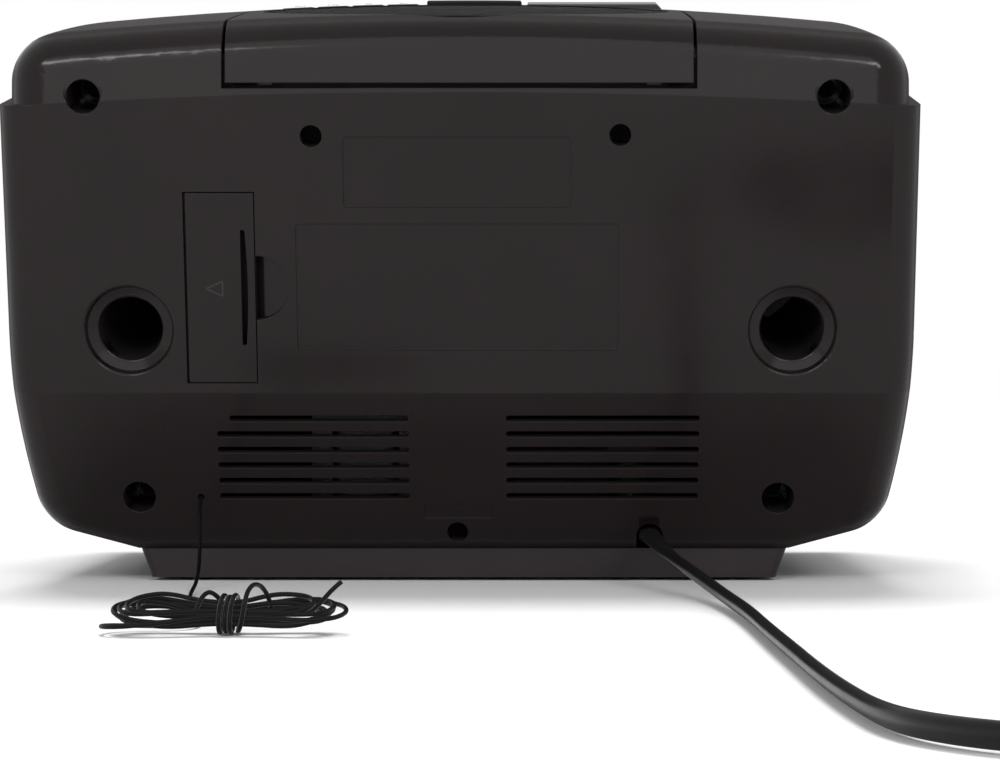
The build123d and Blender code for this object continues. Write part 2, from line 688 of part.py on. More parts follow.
def battery_door():
    """Battery door with a rounded hinge edge and a bowed slit that makes its latch side springy."""
    x0 = DOOR_X[0] + DOOR_GAP
    x1 = DOOR_X[1] - DOOR_GAP - DOOR_THICKNESS / 2
    z0 = DOOR_Z[0] + DOOR_GAP
    z1 = DOOR_Z[1] - DOOR_GAP
    door = block(x0, x1, -DOOR_THICKNESS, 0, z0, z1)
    door += Pos(x1, -DOOR_THICKNESS / 2, (z0 + z1) / 2) * Cylinder(DOOR_THICKNESS / 2, z1 - z0)
    near, far = SLIT_X
    with BuildSketch() as sketch:
        with BuildLine():
            side = Line((far, -SLIT_HALF), (far, SLIT_HALF))
            end = Line(side @ 1, (near + 0.8, SLIT_HALF))
            bow = ThreePointArc(end @ 1, (near, 0), (near + 0.8, -SLIT_HALF))
            Line(bow @ 1, side @ 0)
        make_face()
        fillet(sketch.vertices(), 0.6)
    slit = Pos(0, 0, SCOOP_Z) * extrude(FRONT_VIEW * sketch.sketch, amount=6, both=True)
    return solid_of(door - slit)


def main_board():
    """Upright board behind the front panel, with switches under the keys."""
    board = block(-62, 62, -180, -178.4, -46, 104)
    switches = [block(x - 3, x + 3, -183.4, -180, KEY_Z - 3, KEY_Z + 3) for x in KEY_XS]
    chips = [block(-12, 8, -178.4, -176.2, 10, 30), block(20, 34, -178.4, -176.4, -30, -16)]
    return Part() + [board] + switches + chips


def key_board():
    """Board under the top keys, on the shelf of the disc well."""
    y0, y1 = TOP_KEY_Y
    board = block(-82, 82, y0 - 3, y1 + 3, 106, 107.6)
    middles = [sum(SNOOZE_X) / 2, *DISC_KEY_XS]
    middle_y = (y0 + y1) / 2
    switches = [block(x - 3, x + 3, middle_y - 3, middle_y + 3, 107.6, 111) for x in middles]
    return Part() + [board] + switches


def display_module():
    """Digit display on the main board."""
    x0, x1, z0, z1 = DISPLAY
    return block(x0 + 5, x1 - 5, -191.8, -180, z0 + 4, z1 - 4)


def display_lens():
    """Tinted window in its rebate."""
    x0, x1, z0, z1 = DISPLAY
    lens = slot_y(x0, x1, z0, z1, -195.3, -193.6, 3.8)
    return chamfer(lens.faces().sort_by(Axis.Y)[0].edges(), 0.4)


def rotary_controls():
    """Bodies of the two rotary controls, bored for the knob spindles."""
    bodies = []
    for side in (1, -1):
        x = side * KNOB_X
        body = block(x - 8, x + 8, -190.4, -180, KNOB_Z - 8, KNOB_Z + 8)
        bodies.append(body - rod_y(x, KNOB_Z, SPINDLE_RADIUS + RUNNING_FIT, -191, -184))
    return bodies


def headphone_jack():
    """Panel jack for a 3.5 mm plug."""
    body = block(-6, 6, -191, -180, JACK_Z - 6, JACK_Z + 6)
    barrel = rod_y(0, JACK_Z, 4.5, -195.8, -190.9)
    return body + barrel - rod_y(0, JACK_Z, 1.8, -197, -182)


def ferrite_aerial():
    """Ferrite rod with its winding, lying against the main board."""
    return rod_x(-172.2, 92, 4.5, -46, 46) + rod_x(-172.2, 92, 6.2, -14, 14)


def mech_plate():
    """Steel plate of the disc drive with turned-up ends for the guide rods."""
    plate = round_block(-46, 46, -166, -58, 96, 97.2, 4)
    plate -= rod_z(0, DISC_Y, 3.2, 90, 100)
    plate -= rod_z(PINION_X, PINION_Y, 1.6, 90, 100)
    plate -= [round_block(side * 34 - 7, side * 34 + 7, -106, -78, 90, 100, 5) for side in (1, -1)]
    for x in GUIDE_ROD_XS:
        for y in (-162, -96):
            ear = block(x - 3, x + 3, y, y + 1.2, 97.2, 103.2)
            plate += ear - rod_y(x, GUIDE_ROD_Z, GUIDE_ROD_RADIUS, -170, -90)
    return plate


def mech_dampers():
    """Rubber dampers between the plate and the disc well."""
    places = [(side * 40, y) for side in (1, -1) for y in (-68, -118)]
    return [
        rod_z(x, y, 4.0, 97.2, 104) - (rod_z(x, y, 5, 99.6, 101.2) - rod_z(x, y, 3.0, 99, 102))
        for x, y in places
    ]


def turntable():
    """Disc platter with its centring hub, detent balls and shaft."""
    platter = rod_z(0, DISC_Y, 14, 107.6, DISC_BOTTOM)
    platter = chamfer(platter.faces().sort_by(Axis.Z)[0].edges(), 0.6)
    hub = rod_z(0, DISC_Y, HUB_RADIUS, DISC_BOTTOM, 113)
    hub = chamfer(hub.faces().sort_by(Axis.Z)[-1].edges(), 1.6)
    shaft = rod_z(0, DISC_Y, SHAFT_RADIUS, 96.6, 108)
    solid = platter + hub + shaft
    ball = Pos(HUB_RADIUS - 0.9, 0, 110.9) * Sphere(0.95)
    for turn in range(3):
        solid += Pos(0, DISC_Y, 0) * Rot(0, 0, turn * 120 + 30) * ball
    return solid


def spindle_motor():
    """Spindle motor under the plate."""
    can = rod_z(0, DISC_Y, 12, 84, 96) + rod_z(0, DISC_Y, 3.0, 96, 97.2)
    return can - rod_z(0, DISC_Y, SHAFT_RADIUS + RUNNING_FIT, 95.9, 98)


def pickup_sled():
    """Pickup carriage on two rods, with the rack that drives it."""
    y = LENS_REST_Y
    sled = round_block(-19, 19, y - 10, y + 10, 98.2, 103, 2)
    sled += block(-7.5, 7.5, y - 4.5, y + 4.5, 102.9, 105)
    sled -= [rod_y(x, GUIDE_ROD_Z, GUIDE_ROD_RADIUS + RUNNING_FIT, -140, -90) for x in GUIDE_ROD_XS]
    sled += block(18.9, 20.8, y - 19, y + 19, 99, 101.4)
    pitch = 2 * math.pi * PINION_RADIUS / PINION_TEETH
    for step in range(31):
        centre = PINION_Y + (step - 14.5) * pitch
        if y - 18.4 < centre < y + 18.4:
            sled += rack_tooth(centre)
    return sled - rod_z(0, y, 3.4, 104, 106)


def rack_tooth(centre):
    """One tooth of the rack, pointing at the pinion."""
    root = PINION_X - PINION_RADIUS - 0.85
    tip = PINION_X - PINION_RADIUS + 0.5
    with BuildSketch() as sketch:
        with BuildLine():
            Polyline(
                (root - 0.5, centre - 0.85), (root, centre - 0.85), (tip, centre - 0.28),
                (tip, centre + 0.28), (root, centre + 0.85), (root - 0.5, centre + 0.85), close=True
            )
        make_face()
    return Pos(0, 0, 99) * extrude(sketch.sketch, amount=2.4)


def sled_pinion():
    """Toothed pinion of the sled motor, on its shaft."""
    root = PINION_RADIUS - 0.95
    tip = PINION_RADIUS + 0.5
    with BuildSketch() as sketch:
        with BuildLine():
            Polyline((root - 0.4, -0.85), (tip, -0.28), (tip, 0.28), (root - 0.4, 0.85), close=True)
        make_face()
    tooth = extrude(sketch.sketch, amount=3.2)
    teeth = [Rot(0, 0, 180 + 360 * step / PINION_TEETH) * tooth for step in range(PINION_TEETH)]
    gear = Cylinder(root, 3.2, align=(Align.CENTER, Align.CENTER, Align.MIN)) + teeth
    return Pos(PINION_X, PINION_Y, 98.6) * gear + rod_z(PINION_X, PINION_Y, SHAFT_RADIUS, 96.1, 99)


def sled_motor():
    """Small motor that turns the pinion."""
    can = rod_z(PINION_X, PINION_Y, 8, 85, 96)
    return can - rod_z(PINION_X, PINION_Y, SHAFT_RADIUS + RUNNING_FIT, 95.8, 97)


def objective_lens():
    """Lens in its round mount."""
    y = LENS_REST_Y
    barrel = rod_z(0, y, 3.1, 104, 106.6)
    return barrel - Pos(0, y, 109.2) * Sphere(3.4)


def cabinet_screws():
    """The seven screws of the rear wall."""
    screws = [screw(x, z, -31.5, 13) for x, z in DEEP_HOLES]
    screws += [screw(x, z, -12.5, 10) for x, z in SMALL_HOLES[:2]]
    screws.append(screw(*SMALL_HOLES[2], -19, 13))
    return screws


def pedestal_plan(half, rear, front, z):
    """Plan of the pedestal at one height, its corners a little rounded."""
    with BuildSketch(Plane.XY.offset(z)) as sketch:
        with Locations((0, (rear + front) / 2)):
            RectangleRounded(2 * half, rear - front, 3)
    return sketch.sketch


def pedestal_base():
    """Pedestal: a flared tray turned upside down, with seats for its feet."""
    low = pedestal_plan(PEDESTAL_LOW_HALF, PEDESTAL_REAR, PEDESTAL_FRONT, 1.0)
    high = pedestal_plan(PEDESTAL_TOP_HALF, PEDESTAL_REAR + 1, PEDESTAL_FRONT - 2, BODY_BOTTOM_Z)
    roof = BODY_BOTTOM_Z - 2
    rear = PEDESTAL_REAR - 3
    front = PEDESTAL_FRONT + 3
    mouth = pedestal_plan(PEDESTAL_LOW_HALF - 3, rear, front, 0.9)
    cavity = loft([mouth, pedestal_plan(PEDESTAL_TOP_HALF - 4.6, rear, front - 1, roof)])
    solid = loft([low, high]) - cavity
    for x, y in FEET:
        solid += rod_z(x, y, FOOT_RADIUS + 1.5, FOOT_HEIGHT, roof + 0.2)
    return solid


def rubber_feet():
    """Four pads under the pedestal."""
    feet = []
    for x, y in FEET:
        foot = rod_z(x, y, FOOT_RADIUS, 0, FOOT_HEIGHT)
        feet.append(chamfer(foot.faces().sort_by(Axis.Z)[0].edges(), 0.5))
    return feet


def power_board():
    """Mains board on the cabinet floor."""
    board = block(*POWER_BOARD, 21.0, 22.6)
    caps = [rod_z(x, y, 5.5, 22.6, 40) for x, y in ((-62, -10), (8, -66), (-6, -66))]
    return Part() + [board] + caps


def floor_posts():
    """Posts under the mains board, in the final frame."""
    x0, x1, y0, y1 = POWER_BOARD
    low = BODY_BOTTOM_Z + WALL - 0.3
    return [rod_z(x, y, 3.0, low, 21.0) for x in (x0 + 4, x1 - 4) for y in (y0 + 4, y1 - 4)]


def transformer():
    """Laminated core with its bobbin."""
    core = block(20, 62, -62, -22, 24.6, 58)
    bobbin = round_block(28, 54, -66, -18, 22.6, 52, 4)
    return core + bobbin


def heat_sink():
    """Finned heat sink."""
    web = block(-54, -18, -40, -37.5, 22.6, 50)
    fins = [block(x, x + 1.4, -56, -37.6, 22.6, 50) for x in range(-54, -18, 5)]
    return Part() + [web] + fins


def strain_relief():
    """Tapered sleeve where the mains lead leaves the cord notch."""
    x = CORD_X
    y, z = CORD_EXIT
    foot = block(x - 4.3, x + 4.3, y - 22, y - 9, BODY_BOTTOM_Z, z)
    sleeve = Pos(x, y - 11, z) * Rot(-90, 0, 0) * Cone(3.7, 3.6, 22)
    return foot + sleeve


def wound_tube(points, start_way, end_way, radius, sides):
    """One unbroken tube of a few flat sides, ruled from ring to ring through many points."""
    rings = []
    for index, point in enumerate(points):
        before = points[max(index - 1, 0)]
        after = points[min(index + 1, len(points) - 1)]
        way = (after - before).normalized()
        if index == 0:
            way = start_way
        if index == len(points) - 1:
            way = end_way
        plane = Plane(origin=point, x_dir=Vector(0, 0, 1), z_dir=way)
        ring = plane * RegularPolygon(radius, sides, major_radius=False, rotation=180 / sides)
        rings.append(Wire(ring.edges()))
    return Solid.make_loft(rings, ruled=True)


def length_and_gap(points, radius):
    """Length of a wound tube, and least clear distance between its stretches that are not neighbours."""
    runs = [(after - before).length for before, after in zip(points, points[1:])]
    skip = int(6 * radius / (sum(runs) / len(runs))) + 2
    least = min(
        (points[a] - points[b]).length
        for a in range(len(points)) for b in range(a + skip, len(points))
    )
    return sum(runs), least - 2 * radius


def corner_radii(points):
    """Arc radii of a cord's route: as large as the two runs at each corner allow."""
    radii = []
    for before, here, after in zip(points, points[1:], points[2:]):
        first = Vector(*here) - Vector(*before)
        second = Vector(*after) - Vector(*here)
        turn = math.radians(first.get_angle(second))
        radii.append(0.45 * min(first.length, second.length) / math.tan(turn / 2))
    return radii


def cord_tube(name, points, radius):
    """Tube along a route of straight runs joined by tangent arcs."""
    radii = corner_radii(points)
    path = FilletPolyline(*points, radius=radii)
    start_way = Vector(*points[1]) - Vector(*points[0])
    tube = sweep(Plane(origin=points[0], z_dir=start_way) * Circle(radius), path=path)
    share = tube.volume / (math.pi * radius ** 2 * path.length)
    print(name, "length", round(path.length, 1), "volume share", round(share, 4))
    print(name, "radii", [round(value, 1) for value in radii])
    return tube


def layer_climb(step, middle, reach):
    """Share of a climb from the lower layer to the upper one, centred on a middle step."""
    share = min(max((step - middle + reach) / (2 * reach), 0), 1)
    return share * share * (3 - 2 * share)


def coil_points():
    """Two layers of turns: in on the table, up a layer and out again, then off to the plug."""
    cx, cy = COIL_CENTRE
    middle = COIL_TURNS * COIL_STEPS
    points = []
    for step in range(2 * middle + 1):
        inward = min(step, 2 * middle - step) / COIL_STEPS
        reach = COIL_RADIUS - COIL_PITCH * inward
        angle = math.radians(90 + 360 * step / COIL_STEPS)
        z = CORD_LEVEL + COIL_PITCH * layer_climb(step, middle, COIL_STEPS / 4)
        points.append(Vector(cx + reach * math.cos(angle), cy + reach * math.sin(angle), z))
    for along in (8, 16, 25):
        z = CORD_LEVEL + COIL_PITCH
        points.append(Vector(cx - along, cy + COIL_RADIUS + along ** 2 / 104, z))
    return points


def hank_points():
    """Loops of the wire aerial, drawn in at the waist: in, up a layer and out again."""
    middle = HANK_LOOPS * HANK_STEPS
    points = []
    for step in range(2 * middle + 1):
        inward = HANK_PITCH * min(step, 2 * middle - step) / HANK_STEPS
        angle = math.radians(HANK_START + 360 * step / HANK_STEPS)
        lobe = 1 + HANK_LOBE * math.cos(angle) ** 2
        x = HANK_CENTRE[0] + (HANK_HALF - inward) * math.cos(angle)
        y = HANK_CENTRE[1] + (HANK_WAIST - inward) * math.sin(angle) * lobe
        z = AERIAL_LEVEL + HANK_PITCH * layer_climb(step, middle, HANK_STEPS / 4)
        points.append(Vector(x, y, z))
    return points


def aerial_tie():
    """Wraps that hold the hank at its waist, as one band."""
    half = HANK_WAIST + 2.1
    x, y = HANK_CENTRE
    top = AERIAL_LEVEL + HANK_PITCH + 2.2
    outer = round_block(x - 4, x + 4, y - half, y + half, 0.0, top, 1.8, Axis.X)
    return outer - block(x - 5, x + 5, y - half + 1.2, y + half - 1.2, 0.6, top - 1.2)


def mains_plug():
    """Two-blade plug lying beside the coil, its cable entry at the upper layer."""
    before, end = coil_points()[-2:]
    way = (end - before).normalized()
    z = CORD_LEVEL + COIL_PITCH
    body = round_block(-13, 13, 0, 30, -11.0, 10.0, 4, Axis.Y)
    body = chamfer(body.faces().sort_by(Axis.Y)[0].edges(), 2.5)
    sleeve = Pos(0, -9, 0) * Rot(-90, 0, 0) * Cone(4.2, 6.5, 20)
    blades = [block(x - 0.75, x + 0.75, 29.5, 47, -3.2, 3.2) for x in (-6.35, 6.35)]
    plug = Part() + [body, sleeve] + blades
    turn = math.degrees(math.atan2(way.Y, way.X)) - 90
    return Pos(end.X, end.Y, z) * Rot(0, 0, turn) * Pos(0, 19, 0) * plug


def cabinet_nodes():
    """Pieces that lean with the cabinet, in the cabinet's own frame."""
    outer = cabinet_form(0)
    inner = cabinet_form(WALL)
    shell = outer - inner
    posts = Part() + [upright(post) for post in floor_posts()]
    nodes = {
        "rear_housing": rear_housing(shell, outer),
        "front_housing": solid_of(front_housing(shell) + posts),
        "lid_shell": lid_shell(shell),
        "lid_window": lid_window(),
        "hinge_pins": both_sides(rod_x(HINGE_Y, HINGE_Z, HINGE_PIN_RADIUS, 63.5, 77)),
        "cd_deck": cd_deck(),
        "lid_release": top_key(*RELEASE_X, RELEASE_PROUD),
        "snooze_bar": snooze_bar(),
        "main_board": main_board(),
        "key_board": key_board(),
        "display_module": display_module(),
        "display_lens": display_lens(),
        "rotary_controls": rotary_controls(),
        "headphone_jack": headphone_jack(),
        "volume_knob": knob(KNOB_X),
        "tuning_knob": knob(-KNOB_X),
        "ferrite_aerial": ferrite_aerial(),
        "mech_plate": mech_plate(),
        "mech_dampers": mech_dampers(),
        "spindle_motor": spindle_motor(),
        "turntable": turntable(),
        "sled_motor": sled_motor(),
        "sled_pinion": sled_pinion(),
        "guide_rods": [rod_y(x, GUIDE_ROD_Z, GUIDE_ROD_RADIUS, -162, -94.8) for x in GUIDE_ROD_XS],
        "pickup_sled": pickup_sled(),
        "objective_lens": objective_lens(),
        "battery_box": battery_box(),
        "battery_contacts": battery_contacts(),
        "battery_door": battery_door(),
        "cabinet_screws": cabinet_screws(),
    }
    for name, x in zip(DISC_KEYS, DISC_KEY_XS):
        nodes["key_" + name] = top_key(x - DISC_KEY_HALF, x + DISC_KEY_HALF, 0.5)
    for name, x in zip(FRONT_KEYS, KEY_XS):
        nodes["key_" + name] = front_key(x)
    for name, side in (("left", 1), ("right", -1)):
        x = side * SPEAKER_X
        nodes["grille_" + name] = grille(x)
        nodes["speaker_frame_" + name] = speaker_frame(x)
        nodes["speaker_cone_" + name] = speaker_cone(x)
    nodes["speaker_magnets"] = [speaker_magnet(side * SPEAKER_X) for side in (1, -1)]
    nodes["port_tubes"] = [port_tube(side) for side in (1, -1)]
    return nodes


def level_nodes():
    """Pieces that stand level: pedestal, mains parts and cords."""
    coil_radius = MAINS_DIAMETER / 2
    coil_line = coil_points()
    coil_end = (coil_line[-1] - coil_line[-2]).normalized()
    coil = wound_tube(coil_line, Vector(-1, 0, 0), coil_end, coil_radius, 8)
    hank_radius = AERIAL_DIAMETER / 2
    hank_line = hank_points()
    hank_start = (Vector(*AERIAL_ROUTE[-1]) - Vector(*AERIAL_ROUTE[-2])).normalized()
    hank_end = (hank_line[-1] - hank_line[-2]).normalized()
    hank = wound_tube(hank_line, hank_start, hank_end, hank_radius, 6)
    wound = (("mains_coil", coil_line, coil_radius), ("aerial_hank", hank_line, hank_radius))
    for name, line, radius in wound:
        length, gap = length_and_gap(line, radius)
        print(name, "length", round(length, 1), "gap", round(gap, 2))
    return {
        "pedestal_base": pedestal_base(),
        "rubber_feet": rubber_feet(),
        "power_board": power_board(),
        "transformer": transformer(),
        "heat_sink": heat_sink(),
        "strain_relief": strain_relief(),
        "mains_lead": cord_tube("mains_lead", MAINS_ROUTE, MAINS_DIAMETER / 2),
        "mains_coil": coil,
        "mains_plug": mains_plug(),
        "aerial_lead": cord_tube("aerial_lead", AERIAL_ROUTE, AERIAL_DIAMETER / 2),
        "aerial_hank": hank,
        "aerial_tie": aerial_tie(),
    }


def main():
    """Build every node and write its file."""
    nodes = {name: (shape, True) for name, shape in cabinet_nodes().items()}
    nodes.update({name: (shape, False) for name, shape in level_nodes().items()})
    for name, (shape, leans) in nodes.items():
        pieces = shape if isinstance(shape, list) else [shape]
        solids = [solid for piece in pieces for solid in piece.solids()]
        placed = [tipped(solid) if leans else solid for solid in solids]
        node = placed[0] if len(placed) == 1 else Compound(children=placed)
        export_step(node, os.path.join("parts", name + ".step"))


main()
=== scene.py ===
import math

import bmesh
import bpy
from mathutils import Matrix, Vector


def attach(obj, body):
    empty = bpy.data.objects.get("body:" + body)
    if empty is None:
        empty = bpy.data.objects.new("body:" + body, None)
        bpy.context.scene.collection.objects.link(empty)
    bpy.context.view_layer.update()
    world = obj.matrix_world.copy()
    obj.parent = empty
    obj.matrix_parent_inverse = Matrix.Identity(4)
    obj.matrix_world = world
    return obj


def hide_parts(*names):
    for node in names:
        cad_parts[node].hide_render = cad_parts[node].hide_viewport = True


bl_info = {
    "name": "Bedside disc radio",
    "version": (1, 0, 0),
    "blender": (4, 5, 0),
    "location": "View3D > Sidebar > Radio",
    "description": "Dresses a bedside disc radio: mouldings, cords, legends and studio",
    "category": "Object",
}

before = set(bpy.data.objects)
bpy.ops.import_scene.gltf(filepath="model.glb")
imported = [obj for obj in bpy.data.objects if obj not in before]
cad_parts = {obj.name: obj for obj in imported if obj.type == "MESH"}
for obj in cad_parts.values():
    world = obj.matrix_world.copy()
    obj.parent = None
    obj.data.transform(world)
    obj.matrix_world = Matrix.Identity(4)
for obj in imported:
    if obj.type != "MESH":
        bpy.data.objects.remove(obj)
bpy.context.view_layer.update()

# The cabinet leans back, so its details are placed in its own frame: x across, y depth from the
# rear wall, z up the rear wall from the lower crease, all in metres.
LEAN = math.radians(12.0)
CREASE = Vector((0.0, 0.09252, 0.0672))
TIPPED = Matrix.Translation(CREASE) @ Matrix.Rotation(-LEAN, 4, "X")

# Mains cord: its route from the notch, then its coil in two layers, in metres
MAINS_ROUTE = [
    (-0.0664, 0.0795, 0.0166), (-0.0664, 0.0945, 0.0166), (-0.0725, 0.115, 0.0112),
    (-0.0805, 0.149, 0.0065), (-0.086, 0.195, 0.0038), (-0.089, 0.25, 0.0036),
    (-0.09, 0.312, 0.0036), (-0.0915, 0.366, 0.0036), (-0.0926, 0.414, 0.0036),
    (-0.0946, 0.455, 0.0036), (-0.098, 0.491, 0.0036), (-0.107, 0.5093, 0.0036),
    (-0.122, 0.5226, 0.0036), (-0.1475, 0.531, 0.0036), (-0.174, 0.531, 0.0036),
]
COIL_CENTRE = (-0.174, 0.485)
COIL_RADIUS = 0.046
COIL_PITCH = 0.008
COIL_TURNS = 2
COIL_STEPS = 16
CORD_LEVEL = 0.0036
RUN_OUT = (0.008, 0.016, 0.025)
RUN_OUT_RADIUS = 0.052

# Flat twin cord: half the arc of each core in its outline, in degrees, then its lean on its edge,
# which grows over the first share of its length and goes over a later one
CORE_ARC = 78
EDGE_LEAN = math.radians(48)
LEAN_START = 0.03
LEAN_STOP = (0.3, 0.06)

# Wire aerial: its route from the hole, then the loops of its hank, in metres and degrees
AERIAL_ROUTE = [
    (0.0925, 0.0776, 0.0304), (0.0923, 0.083, 0.0274), (0.0916, 0.089, 0.0194),
    (0.0904, 0.098, 0.009), (0.0896, 0.112, 0.0026), (0.0886, 0.134, 0.001),
    (0.085, 0.165, 0.0009), (0.0808, 0.2, 0.0009), (0.076, 0.2265, 0.0011),
    (0.0723, 0.2415, 0.0012), (0.0706, 0.2512, 0.0013), (0.07369, 0.25934, 0.0013),
]
HANK_CENTRE = (0.0605, 0.272)
HANK_HALF = 0.034
HANK_WAIST = 0.010
HANK_PITCH = 0.002
HANK_LOOPS = 4
HANK_STEPS = 16
HANK_START = -51.7
HANK_LEVEL = 0.0013
WAIST_PINCH = 0.75
LOBE_SWELL = 0.0135
LOOSE_END = (
    (0.0372, 0.2742, 0.0056), (0.0346, 0.2706, 0.0078), (0.0326, 0.2674, 0.0102),
    (0.0306, 0.2658, 0.0124), (0.0284, 0.2652, 0.0142),
)

# What makes the hank's loops uneven: sizes in metres, and waves as radians per turn and a start
UNEVEN_REACH = 0.0022
UNEVEN_SWELL = 0.0025
UNEVEN_WAVE = (2.3, 0.6)
TIED_WAVE = (2.6, 0.9)
STANDING_SLACK = 0.0008
SLACK_WAVE = 1.7

# Tie of the hank: how far it gathers the strands, its wraps in metres and degrees, and the arch
# and the loop at its two ends, which are given from the hank's middle
TIE_HEIGHT = 0.0056
TIE_MIX = 0.75
TIE_REACH = (1.6, 3.2)
TIE_DRAW = 0.45
TIE_SQUEEZE = 0.3
WRAP_STEPS = 40
WRAP_START = 150
WRAP_TURN = 30
WRAP_HALF = (0.0086, 0.0051)
WRAP_SLACK = 0.06
WRAP_WAVE = 9.7
WRAP_TILT = 0.06
WRAP_FIRST = 0.0018
WRAP_SPAN = 0.0052
WRAP_LOWEST = 0.0008
SMALL_ARCH = (
    (0.0082, -0.0002, 0.0068), (0.0074, -0.001, 0.0092), (0.006, -0.0022, 0.0112),
    (0.0044, -0.004, 0.0116),
)
TALL_LOOP = (
    (-0.0044, 0.0048, 0.0014), (-0.0054, 0.0078, 0.0042), (-0.0061, 0.0082, 0.0082),
    (-0.0068, 0.0068, 0.0122), (-0.008, 0.0036, 0.0142), (-0.0097, -0.0004, 0.0138),
    (-0.0112, -0.0038, 0.0112), (-0.0122, -0.006, 0.0076), (-0.0128, -0.0066, 0.0044),
)

# Cabinet finish: roughness of its satin faces, and how far light rounds its edges
SATIN = 0.72
EDGE_RADIUS = 0.0005

# Ribbed sleeve at the cord notch: half its width and height at the inner end with what they
# lose along it, its grooves, and how square its section is
SLEEVE_LENGTH = 0.022
SLEEVE_STEPS = 44
SLEEVE_WIDE = (0.0042, 0.0006)
SLEEVE_HIGH = (0.0036, 0.0016)
SLEEVE_SQUARENESS = 2.6
GROOVE_PITCH = 6
GROOVE_RUN = (6, 42)
GROOVE_DEPTH = 0.00028

# Plug: where its middle lies past the cord's end, and its two flat blades
PLUG_START = 0.019
PLUG_DROP = 0.0005
BLADE_SPREAD = 0.00635
BLADE_THICKNESS = 0.0015
BLADE_OUTLINE = (
    (-0.0032, 0.029), (0.0032, 0.029), (0.0032, 0.0455), (0.0022, 0.047), (-0.0022, 0.047),
    (-0.0032, 0.0455),
)

# Sections of the plug along its body: place, half width, half height, squareness
PLUG_RINGS = (
    (-0.019, 0.0037, 0.0021, 2.2), (-0.012, 0.0043, 0.0029, 2.2), (-0.006, 0.005, 0.0038, 2.3),
    (-0.001, 0.0062, 0.005, 2.4), (0.0008, 0.0092, 0.0072, 2.8), (0.003, 0.0116, 0.0092, 3.2),
    (0.007, 0.0127, 0.0102, 3.6), (0.01, 0.0124, 0.0098, 3.6), (0.0112, 0.0129, 0.0103, 3.6),
    (0.014, 0.0124, 0.0098, 3.6), (0.0152, 0.0129, 0.0103, 3.6), (0.018, 0.0124, 0.0098, 3.6),
    (0.0192, 0.0129, 0.0103, 3.6), (0.026, 0.013, 0.0104, 3.8), (0.029, 0.0129, 0.0103, 3.8),
    (0.03, 0.0122, 0.0096, 3.8),
)

# Arrow head on the battery door. This and the next three groups are in the cabinet's own frame
ARROW_CORNERS = [(-0.0028, 0.0), (0.0029, 0.0026), (0.0029, -0.0026)]
ARROW_PLACE = (0.0851, -0.00005, 0.0369)
ARROW_LINE = 0.0005
ARROW_HEIGHT = 0.0002

# Clock's digits and dots
CLOCK_TIME = "1200"
CLOCK_SPOTS = (-0.03, -0.0125, 0.0125, 0.03)
CLOCK_DEPTH = -0.19185
CLOCK_MIDDLE = 0.071
DIGIT_SIZE = (0.0105, 0.021)
SEGMENT_WIDTH = 0.0019
SEGMENT_INSET = 0.0011
DOT_RADIUS = 0.0011
DOT_RISE = 0.005

# Grille cloth and knob pointers: the place at the left, and their sizes
GRILLE_PLACE = (0.103, -0.1931, 0.024)
GRILLE_RADIUS = 0.0355
KNOB_PLACE = (0.033, -0.20805, 0.001)
KNOB_TURN = math.radians(45)
POINTER_SPAN = (0.0045, 0.0125)
POINTER_WIDTH = 0.0009

# Heights of printed marks and signs, how deep a sign is sunk, and how deep a key's crown reaches
PRINT_HEIGHT = 0.0001
SIGN_HEIGHT = 0.00012
SIGN_SUNK = 0.00002
CROWN_DEPTH = 0.0006

# Studio: the sun (the way it comes from, power, spread in degrees), the soft lamps (name, place,
# target, width, height, brightness), the world's brightness as seen and as light, the camera
SUN = ((0.05, -0.35, 1.0), 2.2, 28)
SOFT_LAMPS = (
    ("lamp_behind", (0, 2.6, 1.2), (0, 0, 1.2), 2.6, 2.8, 1.15),
    ("lamp_left", (1.1, 2.6, 1.4), (0.1, 0.1, 0.15), 1.35, 0.3, 16),
    ("lamp_right", (-1.2, 2.6, 1.4), (-0.1, 0.1, 0.15), 1.35, 0.3, 16),
)
WORLD_SHOWN = 1.0
WORLD_LIGHT = 0.4
FLOOR_LEVEL = -0.0002
CAMERA_PLACE = (-0.0296, 1.01912, 0.06965)
CAMERA_LENS = 95.76
CAMERA_SHIFT = -0.0462


class RadioSizes(bpy.types.PropertyGroup):
    """Sizes that a user would change."""

    mains_width: bpy.props.FloatProperty(
        name="Mains cord width", description="Width of the flat twin mains cord",
        default=0.007, min=0.004, max=0.009, unit="LENGTH",
    )
    mains_thickness: bpy.props.FloatProperty(
        name="Mains cord thickness", description="Thickness of the flat twin mains cord",
        default=0.0036, min=0.002, max=0.006, unit="LENGTH",
    )
    aerial_diameter: bpy.props.FloatProperty(
        name="Wire aerial diameter", description="Diameter of the wire aerial",
        default=0.00135, min=0.0008, max=0.003, unit="LENGTH",
    )
    hank_lift: bpy.props.FloatProperty(
        name="Hank lift", description="How far the far side of the hank's loops stands up",
        default=0.0075, min=0.0, max=0.009, unit="LENGTH",
    )
    floor_reach: bpy.props.FloatProperty(
        name="Floor reach", description="Half the width of the floor",
        default=12.0, min=2.0, max=40.0, unit="LENGTH",
    )


